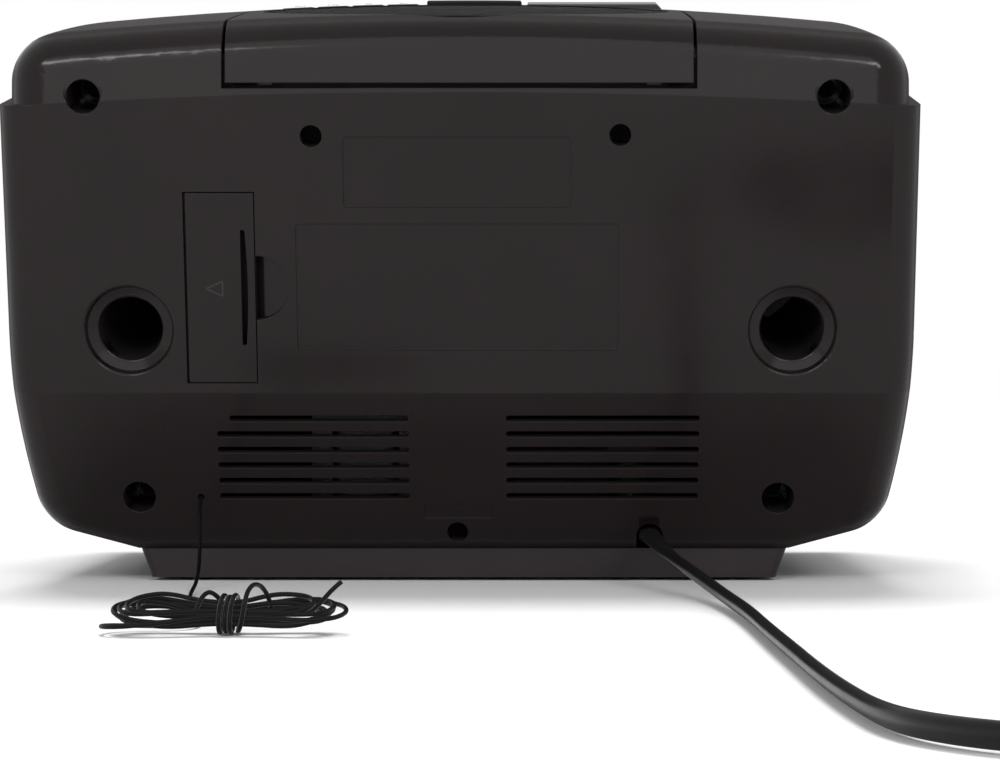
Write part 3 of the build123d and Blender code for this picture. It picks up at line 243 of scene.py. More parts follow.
class RadioFinishes(bpy.types.PropertyGroup):
    """Colours and sheens that a user would change."""

    cabinet: bpy.props.FloatVectorProperty(
        name="Cabinet", description="Colour of the moulded cabinet", subtype="COLOR",
        size=3, min=0, max=1, default=(0.0074, 0.0044, 0.0048),
    )
    cabinet_roughness: bpy.props.FloatProperty(
        name="Cabinet roughness", description="Sheen of the moulded cabinet",
        default=0.14, min=0, max=1, subtype="FACTOR",
    )
    bar: bpy.props.FloatVectorProperty(
        name="Snooze bar", description="Colour of the snooze bar", subtype="COLOR",
        size=3, min=0, max=1, default=(0.055, 0.055, 0.058),
    )
    floor: bpy.props.FloatVectorProperty(
        name="Floor", description="Colour of the floor", subtype="COLOR",
        size=3, min=0, max=1, default=(0.97, 0.97, 0.97),
    )


def finishes():
    """The colours and sheens in use."""
    return bpy.context.scene.radio_finishes


def sizes():
    """The sizes in use."""
    return bpy.context.scene.radio_sizes


def new_material(name):
    """Empty node material with its principled shader."""
    material = bpy.data.materials.new(name)
    material.use_nodes = True
    shader = material.node_tree.nodes["Principled BSDF"]
    return material, material.node_tree, shader


def add_noise(tree, scale, detail, rough=0.5, stretch=(1, 1, 1)):
    """Noise on object coordinates, in turns per metre."""
    coordinates = tree.nodes.new("ShaderNodeTexCoord")
    mapping = tree.nodes.new("ShaderNodeMapping")
    mapping.inputs["Scale"].default_value = stretch
    noise = tree.nodes.new("ShaderNodeTexNoise")
    noise.inputs["Scale"].default_value = scale
    noise.inputs["Detail"].default_value = detail
    noise.inputs["Roughness"].default_value = rough
    tree.links.new(coordinates.outputs["Object"], mapping.inputs["Vector"])
    tree.links.new(mapping.outputs["Vector"], noise.inputs["Vector"])
    return noise.outputs["Fac"]


def add_ramp(tree, factor, low, high, first, second):
    """Two-stop ramp between colours or greys."""
    ramp = tree.nodes.new("ShaderNodeValToRGB")
    ramp.color_ramp.elements[0].position = low
    ramp.color_ramp.elements[1].position = high
    ramp.color_ramp.elements[0].color = (*first, 1)
    ramp.color_ramp.elements[1].color = (*second, 1)
    tree.links.new(factor, ramp.inputs["Fac"])
    return ramp.outputs["Color"]


def add_range(tree, factor, low, high):
    """Map a 0 to 1 factor to a range of numbers."""
    spread = tree.nodes.new("ShaderNodeMapRange")
    spread.inputs["To Min"].default_value = low
    spread.inputs["To Max"].default_value = high
    tree.links.new(factor, spread.inputs["Value"])
    return spread.outputs["Result"]


def add_bump(tree, shader, factor, strength, distance):
    """Bump from a factor."""
    bump = tree.nodes.new("ShaderNodeBump")
    bump.inputs["Strength"].default_value = strength
    bump.inputs["Distance"].default_value = distance
    tree.links.new(factor, bump.inputs["Height"])
    tree.links.new(bump.outputs["Normal"], shader.inputs["Normal"])


def add_facing(tree, way, low, high):
    """Share of a surface that faces a way or its opposite, from its own normal."""
    coordinates = tree.nodes.new("ShaderNodeTexCoord")
    turned = tree.nodes.new("ShaderNodeVectorMath")
    turned.operation = "DOT_PRODUCT"
    turned.inputs[1].default_value = way
    tree.links.new(coordinates.outputs["Normal"], turned.inputs[0])
    size = tree.nodes.new("ShaderNodeMath")
    size.operation = "ABSOLUTE"
    tree.links.new(turned.outputs["Value"], size.inputs[0])
    share = tree.nodes.new("ShaderNodeMapRange")
    share.interpolation_type = "SMOOTHSTEP"
    share.inputs["From Min"].default_value = low
    share.inputs["From Max"].default_value = high
    tree.links.new(size.outputs["Value"], share.inputs["Value"])
    return share.outputs["Result"]


def add_larger(tree, first, second):
    """The larger of two numbers."""
    larger = tree.nodes.new("ShaderNodeMath")
    larger.operation = "MAXIMUM"
    tree.links.new(first, larger.inputs[0])
    tree.links.new(second, larger.inputs[1])
    return larger.outputs["Value"]


def satin_cabinet(name, colour, roughness, bump):
    """Cabinet moulding: polished at the back and front, satin on the top and the sides."""
    material = moulded(name, colour, roughness, bump=bump, spread=0.03, specular=0.2)
    tree = material.node_tree
    shader = tree.nodes["Principled BSDF"]
    polish = shader.inputs["Roughness"].links[0].from_socket
    crown = add_facing(tree, (0, 0, 1), 0.6, 0.95)
    cheeks = add_facing(tree, (1, 0, 0), 0.7, 0.98)
    satin = add_range(tree, add_larger(tree, crown, cheeks), 0.0, SATIN)
    tree.links.new(add_larger(tree, polish, satin), shader.inputs["Roughness"])
    edges = tree.nodes.new("ShaderNodeBevel")
    edges.samples = 4
    edges.inputs["Radius"].default_value = EDGE_RADIUS
    bump = shader.inputs["Normal"].links[0].from_node
    tree.links.new(edges.outputs["Normal"], bump.inputs["Normal"])
    return material


def moulded(name, colour, roughness, grain=1400, bump=0.08, spread=0.05, specular=0.2):
    """Moulded plastic: fine spark-eroded grain, faint flow marks and uneven sheen."""
    material, tree, shader = new_material(name)
    flow = add_noise(tree, 22, 3)
    darker = tuple(value * 0.86 for value in colour)
    lighter = tuple(min(1, value * 1.14) for value in colour)
    tree.links.new(add_ramp(tree, flow, 0.3, 0.7, darker, lighter), shader.inputs["Base Color"])
    haze = add_range(tree, add_noise(tree, 90, 4), roughness - spread, roughness + spread)
    tree.links.new(haze, shader.inputs["Roughness"])
    shader.inputs["Specular IOR Level"].default_value = specular
    add_bump(tree, shader, add_noise(tree, grain, 2), bump, 0.0001)
    return material


def metal(name, colour, roughness, stretch=(1, 1, 1)):
    """Bare metal with drawn or rolled marks."""
    material, tree, shader = new_material(name)
    marks = add_noise(tree, 700, 3, 0.6, stretch)
    darker = tuple(value * 0.8 for value in colour)
    tree.links.new(add_ramp(tree, marks, 0.35, 0.65, darker, colour), shader.inputs["Base Color"])
    sheen = add_range(tree, marks, roughness - 0.08, roughness + 0.08)
    tree.links.new(sheen, shader.inputs["Roughness"])
    shader.inputs["Metallic"].default_value = 1.0
    add_bump(tree, shader, marks, 0.1, 0.00005)
    return material


def clear(name, colour, alpha, roughness=0.08, specular=0.6):
    """Tinted clear plastic."""
    material, tree, shader = new_material(name)
    haze = add_noise(tree, 60, 3)
    darker = tuple(value * 0.8 for value in colour)
    tree.links.new(add_ramp(tree, haze, 0.3, 0.7, darker, colour), shader.inputs["Base Color"])
    sheen = add_range(tree, haze, roughness - 0.03, roughness + 0.04)
    tree.links.new(sheen, shader.inputs["Roughness"])
    shader.inputs["Alpha"].default_value = alpha
    shader.inputs["Specular IOR Level"].default_value = specular
    return material


def circuit_board(name):
    """Solder-masked board with faint copper tracks."""
    material, tree, shader = new_material(name)
    coordinates = tree.nodes.new("ShaderNodeTexCoord")
    tracks = tree.nodes.new("ShaderNodeTexBrick")
    tracks.inputs["Scale"].default_value = 90
    tracks.inputs["Mortar Size"].default_value = 0.035
    tracks.inputs["Color1"].default_value = (0.012, 0.075, 0.022, 1)
    tracks.inputs["Color2"].default_value = (0.014, 0.09, 0.028, 1)
    tracks.inputs["Mortar"].default_value = (0.03, 0.16, 0.05, 1)
    tree.links.new(coordinates.outputs["Object"], tracks.inputs["Vector"])
    tree.links.new(tracks.outputs["Color"], shader.inputs["Base Color"])
    shader.inputs["Roughness"].default_value = 0.35
    add_bump(tree, shader, tracks.outputs["Fac"], 0.2, 0.0001)
    return material


def cord_jacket(name, colour, roughness, specular):
    """Flexible cord jacket with faint drag lines."""
    return moulded(name, colour, roughness, 900, 0.12, 0.06, specular)


def lit(name, colour, strength):
    """Faintly lit digit segment."""
    material, tree, shader = new_material(name)
    haze = add_noise(tree, 300, 2)
    darker = tuple(value * 0.8 for value in colour)
    tree.links.new(add_ramp(tree, haze, 0.3, 0.7, darker, colour), shader.inputs["Base Color"])
    shader.inputs["Emission Color"].default_value = (*colour, 1)
    shader.inputs["Emission Strength"].default_value = strength
    shader.inputs["Roughness"].default_value = 0.4
    return material


def make_materials():
    """Every finish of the radio, by name."""
    cabinet = tuple(finishes().cabinet)
    sheen = finishes().cabinet_roughness
    return {
        "cabinet": satin_cabinet("cabinet_moulding", cabinet, sheen, 0.05),
        "lid": satin_cabinet("lid_moulding", cabinet, sheen * 0.9, 0.04),
        "keys": moulded("key_moulding", (0.006, 0.006, 0.0065), 0.3, bump=0.06),
        "bar": moulded("bar_moulding", tuple(finishes().bar), 0.34, bump=0.08),
        "knobs": moulded("knob_moulding", (0.008, 0.008, 0.0085), 0.36, bump=0.08),
        "well": moulded("well_moulding", (0.01, 0.01, 0.0105), 0.45, bump=0.15),
        "window": clear("smoked_window", (0.006, 0.006, 0.0065), 0.85, 0.5, 0.004),
        "display": moulded("dark_display", (0.004, 0.004, 0.004), 0.2),
        "lens": clear("tinted_lens", (0.02, 0.004, 0.004), 0.62),
        "optic": clear("pickup_lens", (0.06, 0.08, 0.16), 0.7, 0.05),
        "steel": metal("plated_steel", (0.55, 0.55, 0.57), 0.32),
        "rods": metal("ground_rod", (0.7, 0.7, 0.72), 0.18, (1, 12, 1)),
        # The screws are near black: painted shade, so that the deep screw holes read dark.
        "screws": metal("screw_steel", (0.004, 0.004, 0.004), 0.5),
        "contacts": metal("contact_plate", (0.75, 0.74, 0.7), 0.25),
        "aluminium": metal("heat_sink_alloy", (0.02, 0.02, 0.02), 0.45, (1, 1, 8)),
        "ferrite": moulded("pressed_ferrite", (0.035, 0.034, 0.033), 0.7, bump=0.3),
        "iron": metal("dark_iron", (0.14, 0.14, 0.145), 0.5),
        "board": circuit_board("circuit_board"),
        "rubber": moulded("foot_rubber", (0.012, 0.012, 0.012), 0.75, bump=0.3),
        "cone": moulded("pressed_cone", (0.02, 0.02, 0.021), 0.85, 500, 0.5),
        "cord": cord_jacket("mains_jacket", (0.0075, 0.0073, 0.0075), 0.34, 0.16),
        "aerial": cord_jacket("aerial_jacket", (0.0035, 0.0035, 0.0036), 0.4, 0.09),
        "brass": metal("plug_brass", (0.75, 0.56, 0.26), 0.25),
        "legend": moulded("printed_legend", (0.5, 0.5, 0.5), 0.6),
        "digits": lit("lit_digits", (0.9, 0.16, 0.04), 0.6),
        "cloth": moulded("grille_cloth", (0.008, 0.008, 0.008), 0.95, 900, 0.8),
        # The door arrow's plastic is a lighter copy of the cabinet's: painted highlight, standing
        # in for light caught on its raised edges.
        "arrow": moulded("door_arrow_painted_highlight", (0.026, 0.0235, 0.0245), 0.4),
        # The pedestal's plastic is a lighter copy of the cabinet's: the extra lightness is painted
        # light, standing in for bounce light from the floor.
        "pedestal": moulded("pedestal_painted_bounce_light", (0.0235, 0.0185, 0.0195), 0.3, specular=0.25),
    }


MATERIALS = {}

NODE_FINISHES = {
    "rear_housing": "cabinet", "front_housing": "cabinet", "pedestal_base": "pedestal",
    "battery_door": "cabinet", "lid_shell": "lid", "lid_window": "window", "cd_deck": "well",
    "battery_box": "well", "port_tubes": "well", "turntable": "well", "pickup_sled": "well",
    "sled_pinion": "well", "snooze_bar": "bar", "lid_release": "keys", "main_board": "board",
    "key_board": "board", "power_board": "board", "display_module": "display",
    "display_lens": "lens", "rotary_controls": "steel", "headphone_jack": "well",
    "volume_knob": "knobs", "tuning_knob": "knobs", "ferrite_aerial": "ferrite",
    "mech_plate": "steel", "mech_dampers": "rubber", "spindle_motor": "steel",
    "sled_motor": "steel", "guide_rods": "rods", "hinge_pins": "rods",
    "objective_lens": "optic", "battery_contacts": "contacts", "cabinet_screws": "screws",
    "grille_left": "keys", "grille_right": "keys", "speaker_frame_left": "steel",
    "speaker_frame_right": "steel", "speaker_cone_left": "cone", "speaker_cone_right": "cone",
    "speaker_magnets": "iron", "transformer": "iron", "heat_sink": "aluminium",
    "rubber_feet": "rubber",
}


class RADIO_OT_finish_nodes(bpy.types.Operator):
    """Give every moulded and metal part of the radio its finish."""

    bl_idname = "radio.finish_nodes"
    bl_label = "Finish the parts"

    def execute(self, context):
        MATERIALS.clear()
        MATERIALS.update(make_materials())
        for name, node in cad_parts.items():
            finish = NODE_FINISHES.get(name, "keys")
            for holder in node.material_slots:
                holder.material = MATERIALS[finish]
        return {"FINISHED"}


def link(name, data, body, finish):
    """Put data in the scene as a piece that moves with a body."""
    piece = bpy.data.objects.new(name, data)
    bpy.context.scene.collection.objects.link(piece)
    data.materials.append(MATERIALS[finish])
    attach(piece, body)
    return piece


def nurbs_line(name, points, bevel=0.0):
    """Smooth cord line with the route's points as control points."""
    curve = bpy.data.curves.new(name, "CURVE")
    curve.dimensions = "3D"
    spline = curve.splines.new("NURBS")
    spline.points.add(len(points) - 1)
    for target, point in zip(spline.points, points):
        target.co = (*point, 1)
    spline.order_u = 3
    spline.use_endpoint_u = True
    spline.resolution_u = 6
    curve.bevel_depth = bevel
    curve.bevel_resolution = 4
    curve.use_fill_caps = True
    return curve


def line_points(points):
    """Points of the smooth line through a route's control points."""
    curve = nurbs_line("route_line", points)
    holder = bpy.data.objects.new("route_line", curve)
    mesh = bpy.data.meshes.new_from_object(holder)
    places = [vertex.co.copy() for vertex in mesh.vertices]
    bpy.data.objects.remove(holder)
    bpy.data.meshes.remove(mesh)
    bpy.data.curves.remove(curve)
    return places


def layer_climb(share):
    """Smooth climb from the lower layer to the upper one."""
    share = min(max(share, 0), 1)
    return share * share * (3 - 2 * share)


def coil_points():
    """Turns of the put-away mains cord: in on the floor, up a layer, out again, off to the plug."""
    middle = COIL_TURNS * COIL_STEPS
    points = []
    for step in range(1, 2 * middle + 1):
        inward = min(step, 2 * middle - step) / COIL_STEPS
        reach = COIL_RADIUS - COIL_PITCH * inward
        angle = math.radians(90 + 360 * step / COIL_STEPS)
        climb = layer_climb((step - middle + COIL_STEPS / 4) / (COIL_STEPS / 2))
        x = COIL_CENTRE[0] + reach * math.cos(angle)
        y = COIL_CENTRE[1] + reach * math.sin(angle)
        points.append((x, y, CORD_LEVEL + COIL_PITCH * climb))
    for along in RUN_OUT:
        y = COIL_CENTRE[1] + COIL_RADIUS + along ** 2 / (2 * RUN_OUT_RADIUS)
        points.append((COIL_CENTRE[0] - along, y, CORD_LEVEL + COIL_PITCH))
    return points


def twin_profile(width, thickness, count=10):
    """Outline of a flat twin cord: two round cores with a shallow web between them."""
    core = thickness / 2
    offset = width / 2 - core
    outline = []
    for side in (1, -1):
        for step in range(count + 1):
            angle = math.radians(-CORE_ARC + 2 * CORE_ARC * step / count)
            across = side * (offset + core * math.cos(angle))
            outline.append((across, side * core * math.sin(angle)))
    return outline


def ring_mesh(name, rings):
    """Closed smooth mesh through rings of as many points each, capped at both ends."""
    mesh = bpy.data.meshes.new(name)
    shape = bmesh.new()
    loops = [[shape.verts.new(point) for point in ring] for ring in rings]
    count = len(loops[0])
    for first, second in zip(loops, loops[1:]):
        for index in range(count):
            following = (index + 1) % count
            shape.faces.new((first[index], first[following], second[following], second[index]))
    shape.faces.new(loops[0])
    shape.faces.new(list(reversed(loops[-1])))
    bmesh.ops.recalc_face_normals(shape, faces=shape.faces)
    shape.to_mesh(mesh)
    shape.free()
    mesh.shade_smooth()
    return mesh


def swept_mesh(name, places, outline, twist):
    """Mesh of an outline carried along a line, turned by a twist at each share of it."""
    rings = []
    for index, place in enumerate(places):
        before = places[max(index - 1, 0)]
        after = places[min(index + 1, len(places) - 1)]
        way = (after - before).normalized()
        side = way.cross(Vector((0, 0, 1))).normalized()
        lift = side.cross(way).normalized()
        turn = twist(index / (len(places) - 1))
        across = side * math.cos(turn) + lift * math.sin(turn)
        thick = lift * math.cos(turn) - side * math.sin(turn)
        rings.append([place + across * a + thick * b for a, b in outline])
    return ring_mesh(name, rings)


def oval(half_wide, half_high, power=2.0, count=32):
    """Outline between an ellipse and a rectangle: the higher the power, the squarer."""
    outline = []
    for step in range(count):
        angle = 2 * math.pi * step / count
        cosine, sine = math.cos(angle), math.sin(angle)
        across = math.copysign(abs(cosine) ** (2 / power), cosine)
        up = math.copysign(abs(sine) ** (2 / power), sine)
        outline.append((half_wide * across, half_high * up))
    return outline


def flat_mesh(name, shapes, matrix, thickness):
    """Thin plates of flat outlines, each a list of points, stood on a plane by a matrix."""
    mesh = bpy.data.meshes.new(name)
    shape = bmesh.new()
    for outline in shapes:
        low = [shape.verts.new(matrix @ Vector((x, y, 0))) for x, y in outline]
        high = [shape.verts.new(matrix @ Vector((x, y, thickness))) for x, y in outline]
        shape.faces.new(list(reversed(low)))
        shape.faces.new(high)
        for index in range(len(outline)):
            following = (index + 1) % len(outline)
            shape.faces.new((low[index], low[following], high[following], high[index]))
    bmesh.ops.recalc_face_normals(shape, faces=shape.faces)
    shape.to_mesh(mesh)
    shape.free()
    return mesh


def bar_outline(start, end, width):
    """Rectangle along a line between two points of a plane."""
    run = (Vector(end) - Vector(start)).normalized()
    side = Vector((-run.y, run.x)) * width / 2
    return [Vector(start) + side, Vector(start) - side, Vector(end) - side, Vector(end) + side]


def mains_twist(share):
    """The flat cord lies down at both ends and leans up on its edge along the open run."""
    stop, over = LEAN_STOP
    return EDGE_LEAN * (layer_climb(share / LEAN_START) * (1 - layer_climb((share - stop) / over)))


class RADIO_OT_mains_cord(bpy.types.Operator):
    """Lay the flat twin mains cord from its notch over the floor to its coil and plug."""

    bl_idname = "radio.mains_cord"
    bl_label = "Lay the mains cord"

    def execute(self, context):
        route = MAINS_ROUTE + coil_points()
        places = line_points(route)
        outline = twin_profile(sizes().mains_width, sizes().mains_thickness)
        mesh = swept_mesh("mains_cord", places, outline, mains_twist)
        cord = link("mains_cord", mesh, "cabinet", "cord")
        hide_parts("mains_lead", "mains_coil")
        cord.visible_glossy = False
        return {"FINISHED"}


class RADIO_OT_cord_ends(bpy.types.Operator):
    """Model the tapered sleeve at the cord notch and the moulded plug with its blades."""

    bl_idname = "radio.cord_ends"
    bl_label = "Model the cord's ends"

    def execute(self, context):
        x, y, z = MAINS_ROUTE[0]
        rings = []
        for step in range(SLEEVE_STEPS + 1):
            along = step / SLEEVE_STEPS
            grooved = step % GROOVE_PITCH in (2, 3, 4) and GROOVE_RUN[0] < step < GROOVE_RUN[1]
            groove = GROOVE_DEPTH if grooved else 0.0
            wide = SLEEVE_WIDE[0] - SLEEVE_WIDE[1] * along - groove
            high = SLEEVE_HIGH[0] - SLEEVE_HIGH[1] * along - groove
            depth = y - SLEEVE_LENGTH * (1 - along)
            outline = oval(wide, high, SLEEVE_SQUARENESS)
            rings.append([(x + a, depth, z + b) for a, b in outline])
        sleeve = link("cord_sleeve", ring_mesh("cord_sleeve", rings), "cabinet", "cord")
        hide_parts("strain_relief")
        before, end = [Vector(point) for point in coil_points()[-2:]]
        way = (end - before).normalized()
        turn = Matrix.Rotation(math.atan2(way.y, way.x) - math.pi / 2, 4, "Z")
        placed = Matrix.Translation(end) @ turn @ Matrix.Translation((0, PLUG_START, 0))
        rings = []
        for along, wide, high, power in PLUG_RINGS:
            outline = oval(wide, high, power, 48)
            rings.append([placed @ Vector((a, along, b - PLUG_DROP)) for a, b in outline])
        body = link("plug_body", ring_mesh("plug_body", rings), "cabinet", "cord")
        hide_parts("mains_plug")
        body.visible_glossy = False
        upright = Matrix.Rotation(math.pi / 2, 4, "Y")
        for side, name in ((1, "plug_blade_left"), (-1, "plug_blade_right")):
            aside = side * BLADE_SPREAD - BLADE_THICKNESS / 2
            stand = placed @ Matrix.Translation((aside, 0, 0)) @ upright
            mesh = flat_mesh("plug_blade", [BLADE_OUTLINE], stand, BLADE_THICKNESS)
            link(name, mesh, "cabinet", "brass")
        return {"FINISHED"}


def hank_points():
    """Loops of the tied hank: no two are alike, and the tie gathers them in the middle."""
    middle = HANK_LOOPS * HANK_STEPS
    last = 2 * middle - HANK_STEPS // 2
    lift = sizes().hank_lift
    points = []
    for step in range(last + 1):
        turn = step / HANK_STEPS
        inward = HANK_PITCH * min(turn, 2 * HANK_LOOPS - turn)
        angle = math.radians(HANK_START + 360 * turn)
        reach = abs(math.cos(angle))
        uneven = math.sin(UNEVEN_WAVE[0] * turn + UNEVEN_WAVE[1])
        half = HANK_HALF - inward + UNEVEN_REACH * uneven * reach
        waist = WAIST_PINCH * (HANK_WAIST - inward)
        waist += (LOBE_SWELL + UNEVEN_SWELL * uneven) * math.cos(angle) ** 2
        x = HANK_CENTRE[0] + half * math.cos(angle)
        y = HANK_CENTRE[1] + waist * math.sin(angle)
        climb = layer_climb((step - middle + HANK_STEPS / 4) / (HANK_STEPS / 2))
        tied = TIE_MIX * (1 - reach)
        by_side = 0.5 - 0.5 * math.sin(angle)
        by_loop = 0.5 + 0.5 * math.sin(TIED_WAVE[0] * turn + TIED_WAVE[1])
        rise = lift * ((1 - tied) * by_side + tied * by_loop)
        slack = STANDING_SLACK * (1 + math.sin(SLACK_WAVE * turn)) * reach
        start = layer_climb(2 * step / HANK_STEPS)
        z = HANK_LEVEL + HANK_PITCH * climb + (rise + slack) * start
        draw = TIE_DRAW * layer_climb(TIE_REACH[0] - TIE_REACH[1] * reach)
        y += TIE_SQUEEZE * draw * (HANK_CENTRE[1] - y)
        z += draw * start * (TIE_HEIGHT - z)
        points.append((x, y, z))
    return points + list(LOOSE_END)


def wrap_points():
    """Wraps of the tie: out of the hank in a small arch, round it, then up in a tall loop."""
    x, y = HANK_CENTRE
    points = [(x + dx, y + dy, z) for dx, dy, z in SMALL_ARCH]
    for step in range(WRAP_STEPS + 1):
        angle = math.radians(WRAP_START + WRAP_TURN * step)
        along = step / WRAP_STEPS
        slack = 1 + WRAP_SLACK * math.sin(WRAP_WAVE * along)
        across = WRAP_HALF[0] * slack * math.cos(angle)
        up = WRAP_HALF[1] * slack * math.sin(angle) - WRAP_TILT * across
        aside = x + WRAP_FIRST - WRAP_SPAN * along
        points.append((aside, y + across, max(WRAP_LOWEST, TIE_HEIGHT + up)))
    return points + [(x + dx, y + dy, z) for dx, dy, z in TALL_LOOP]


class RADIO_OT_wire_aerial(bpy.types.Operator):
    """Hang the wire aerial from its hole and lay its tied hank on the floor."""

    bl_idname = "radio.wire_aerial"
    bl_label = "Hang the wire aerial"

    def execute(self, context):
        radius = sizes().aerial_diameter / 2
        curve = nurbs_line("aerial_wraps", wrap_points(), radius)
        wraps = link("aerial_wraps", curve, "cabinet", "aerial")
        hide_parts("aerial_tie")
        route = AERIAL_ROUTE + hank_points()
        places = line_points(route)
        curve = nurbs_line("wire_aerial", route, radius)
        cord = link("wire_aerial", curve, "cabinet", "aerial")
        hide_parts("aerial_lead", "aerial_hank")
        wraps.visible_glossy = cord.visible_glossy = False
        return {"FINISHED"}


def facing(x, y, z, way):
    """Matrix of a plane on the cabinet: rear, front or top. Its first axis goes to the right of
    a viewer who faces the plane, and for the top of one who stands in front of the radio."""
    turn = {
        "rear": Matrix.Rotation(math.pi, 4, "Z") @ Matrix.Rotation(math.pi / 2, 4, "X"),
        "front": Matrix.Rotation(math.pi / 2, 4, "X"),
        "top": Matrix.Identity(4),
    }[way]
    return TIPPED @ Matrix.Translation((x, y, z)) @ turn


class RADIO_OT_door_arrow(bpy.types.Operator):
    """Raise the thin outline of an arrow head on the battery door."""

    bl_idname = "radio.door_arrow"
    bl_label = "Raise the door's arrow"

    def execute(self, context):
        following = ARROW_CORNERS[1:] + ARROW_CORNERS[:1]
        bars = [bar_outline(a, b, ARROW_LINE) for a, b in zip(ARROW_CORNERS, following)]
        mesh = flat_mesh("door_arrow", bars, facing(*ARROW_PLACE, "rear"), ARROW_HEIGHT)
        # Its finish is lighter than the door's plastic: painted highlight on the raised outline.
        link("door_arrow", mesh, "battery_door_body", "arrow")
        return {"FINISHED"}


def digit_bars(lit_bars, width, height):
    """Segments of one digit, centred on its middle."""
    half, upper = width / 2, height / 2
    ends = {
        "a": ((-half, upper), (half, upper)), "b": ((half, upper), (half, 0)),
        "c": ((half, 0), (half, -upper)), "d": ((-half, -upper), (half, -upper)),
        "e": ((-half, 0), (-half, -upper)), "f": ((-half, upper), (-half, 0)),
        "g": ((-half, 0), (half, 0)),
    }
    bars = []
    for bar in lit_bars:
        start, end = (Vector(point) for point in ends[bar])
        inset = (end - start).normalized() * SEGMENT_INSET
        bars.append(bar_outline(start + inset, end - inset, SEGMENT_WIDTH))
    return bars


def key_signs():
    """Outlines of the disc keys' signs, in metres, each about the middle of its key."""
    wedge = [(-0.0014, 0.0017), (-0.0014, -0.0017), (0.0016, 0.0)]
    mirrored = [(-x, y) for x, y in wedge]
    post = [(-0.0002, 0.0017), (-0.0002, -0.0017), (0.0003, -0.0017), (0.0003, 0.0017)]
    square = [(-0.0014, 0.0014), (-0.0014, -0.0014), (0.0014, -0.0014), (0.0014, 0.0014)]
    back = [[(x + 0.0003, y) for x, y in mirrored], [(x - 0.0021, y) for x, y in post]]
    skip = [[(x - 0.0003, y) for x, y in wedge], [(x + 0.002, y) for x, y in post]]
    return {"play": [wedge], "stop": [square], "back": back, "skip": skip}


def key_top(name):
    """Middle of a top key's crown, in the cabinet's frame."""
    back = TIPPED.inverted()
    points = [back @ vertex.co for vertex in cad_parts[name].data.vertices]
    peak = max(point.z for point in points)
    crown = [point for point in points if point.z > peak - CROWN_DEPTH]
    across = [point.x for point in crown]
    depth = [point.y for point in crown]
    return (min(across) + max(across)) / 2, (min(depth) + max(depth)) / 2, peak


class RADIO_OT_front_details(bpy.types.Operator):
    """Light the clock, back the grilles with cloth, and mark the knobs and the disc keys."""

    bl_idname = "radio.front_details"
    bl_label = "Detail the front and the keys"

    def execute(self, context):
        segments = {"0": "abcdef", "1": "bc", "2": "abged"}
        for spot, digit in zip(CLOCK_SPOTS, CLOCK_TIME):
            bars = digit_bars(segments[digit], *DIGIT_SIZE)
            plane = facing(spot, CLOCK_DEPTH, CLOCK_MIDDLE, "front")
            mesh = flat_mesh("clock_digit", bars, plane, PRINT_HEIGHT)
            name = "clock_digit_%d" % round(1000 * spot + 100)
            link(name, mesh, "cabinet", "digits")
        dot = oval(DOT_RADIUS, DOT_RADIUS, 2, 12)
        dots = [[(a, b + rise) for a, b in dot] for rise in (DOT_RISE, -DOT_RISE)]
        plane = facing(0, CLOCK_DEPTH, CLOCK_MIDDLE, "front")
        mesh = flat_mesh("clock_dots", dots, plane, PRINT_HEIGHT)
        link("clock_dots", mesh, "cabinet", "digits")
        for side, place in ((1, "left"), (-1, "right")):
            disc = [oval(GRILLE_RADIUS, GRILLE_RADIUS, 2, 64)]
            plane = facing(side * GRILLE_PLACE[0], *GRILLE_PLACE[1:], "front")
            mesh = flat_mesh("grille_cloth", disc, plane, 2 * PRINT_HEIGHT)
            link("grille_cloth_" + place, mesh, "cabinet", "cloth")
        start, end = POINTER_SPAN
        for side, knob in ((1, "volume"), (-1, "tuning")):
            pointer = [bar_outline((0, start), (0, end), POINTER_WIDTH)]
            plane = facing(side * KNOB_PLACE[0], *KNOB_PLACE[1:], "front")
            turned = plane @ Matrix.Rotation(KNOB_TURN, 4, "Z")
            mesh = flat_mesh("knob_pointer", pointer, turned, PRINT_HEIGHT)
            link("knob_pointer_" + knob, mesh, knob + "_knob_body", "legend")
        for name, outlines in key_signs().items():
            x, y, z = key_top("key_" + name)
            # The signs are turned half about, so they read from behind the radio.
            signs = [[(-a, -b) for a, b in outline] for outline in outlines]
            mesh = flat_mesh("key_sign", signs, facing(x, y, z - SIGN_SUNK, "top"), SIGN_HEIGHT)
            link("key_sign_" + name, mesh, "key_%s_body" % name, "legend")
        return {"FINISHED"}


def flat_square(name, size, place):
    """Level square, with half its side as its size."""
    mesh = bpy.data.meshes.new(name)
    shape = bmesh.new()
    bmesh.ops.create_grid(shape, x_segments=1, y_segments=1, size=size)
    shape.to_mesh(mesh)
    shape.free()
    square = bpy.data.objects.new(name, mesh)
    square.location = place
    bpy.context.scene.collection.objects.link(square)
    return square


def add_lamp(name, data, way):
    """Put a lamp in the scene, shining along a way."""
    lamp = bpy.data.objects.new(name, data)
    lamp.rotation_mode = "QUATERNION"
    lamp.rotation_quaternion = way.to_track_quat("-Z", "Y")
    bpy.context.scene.collection.objects.link(lamp)
    return lamp


def soft_box(name, place, target, width, height, radiance):
    """Oval soft lamp pointed at a place, with the brightness of its face."""
    data = bpy.data.lights.new(name, "AREA")
    data.shape = "ELLIPSE"
    data.size = width
    data.size_y = height
    data.energy = radiance * math.pi * (math.pi * width * height / 4)
    add_lamp(name, data, Vector(target) - Vector(place)).location = place


def sun_lamp(name, way_from, power, spread):
    """Broad even light from one direction, which gloss doesn't mirror."""
    data = bpy.data.lights.new(name, "SUN")
    data.energy = power
    data.angle = math.radians(spread)
    add_lamp(name, data, -Vector(way_from)).visible_glossy = False


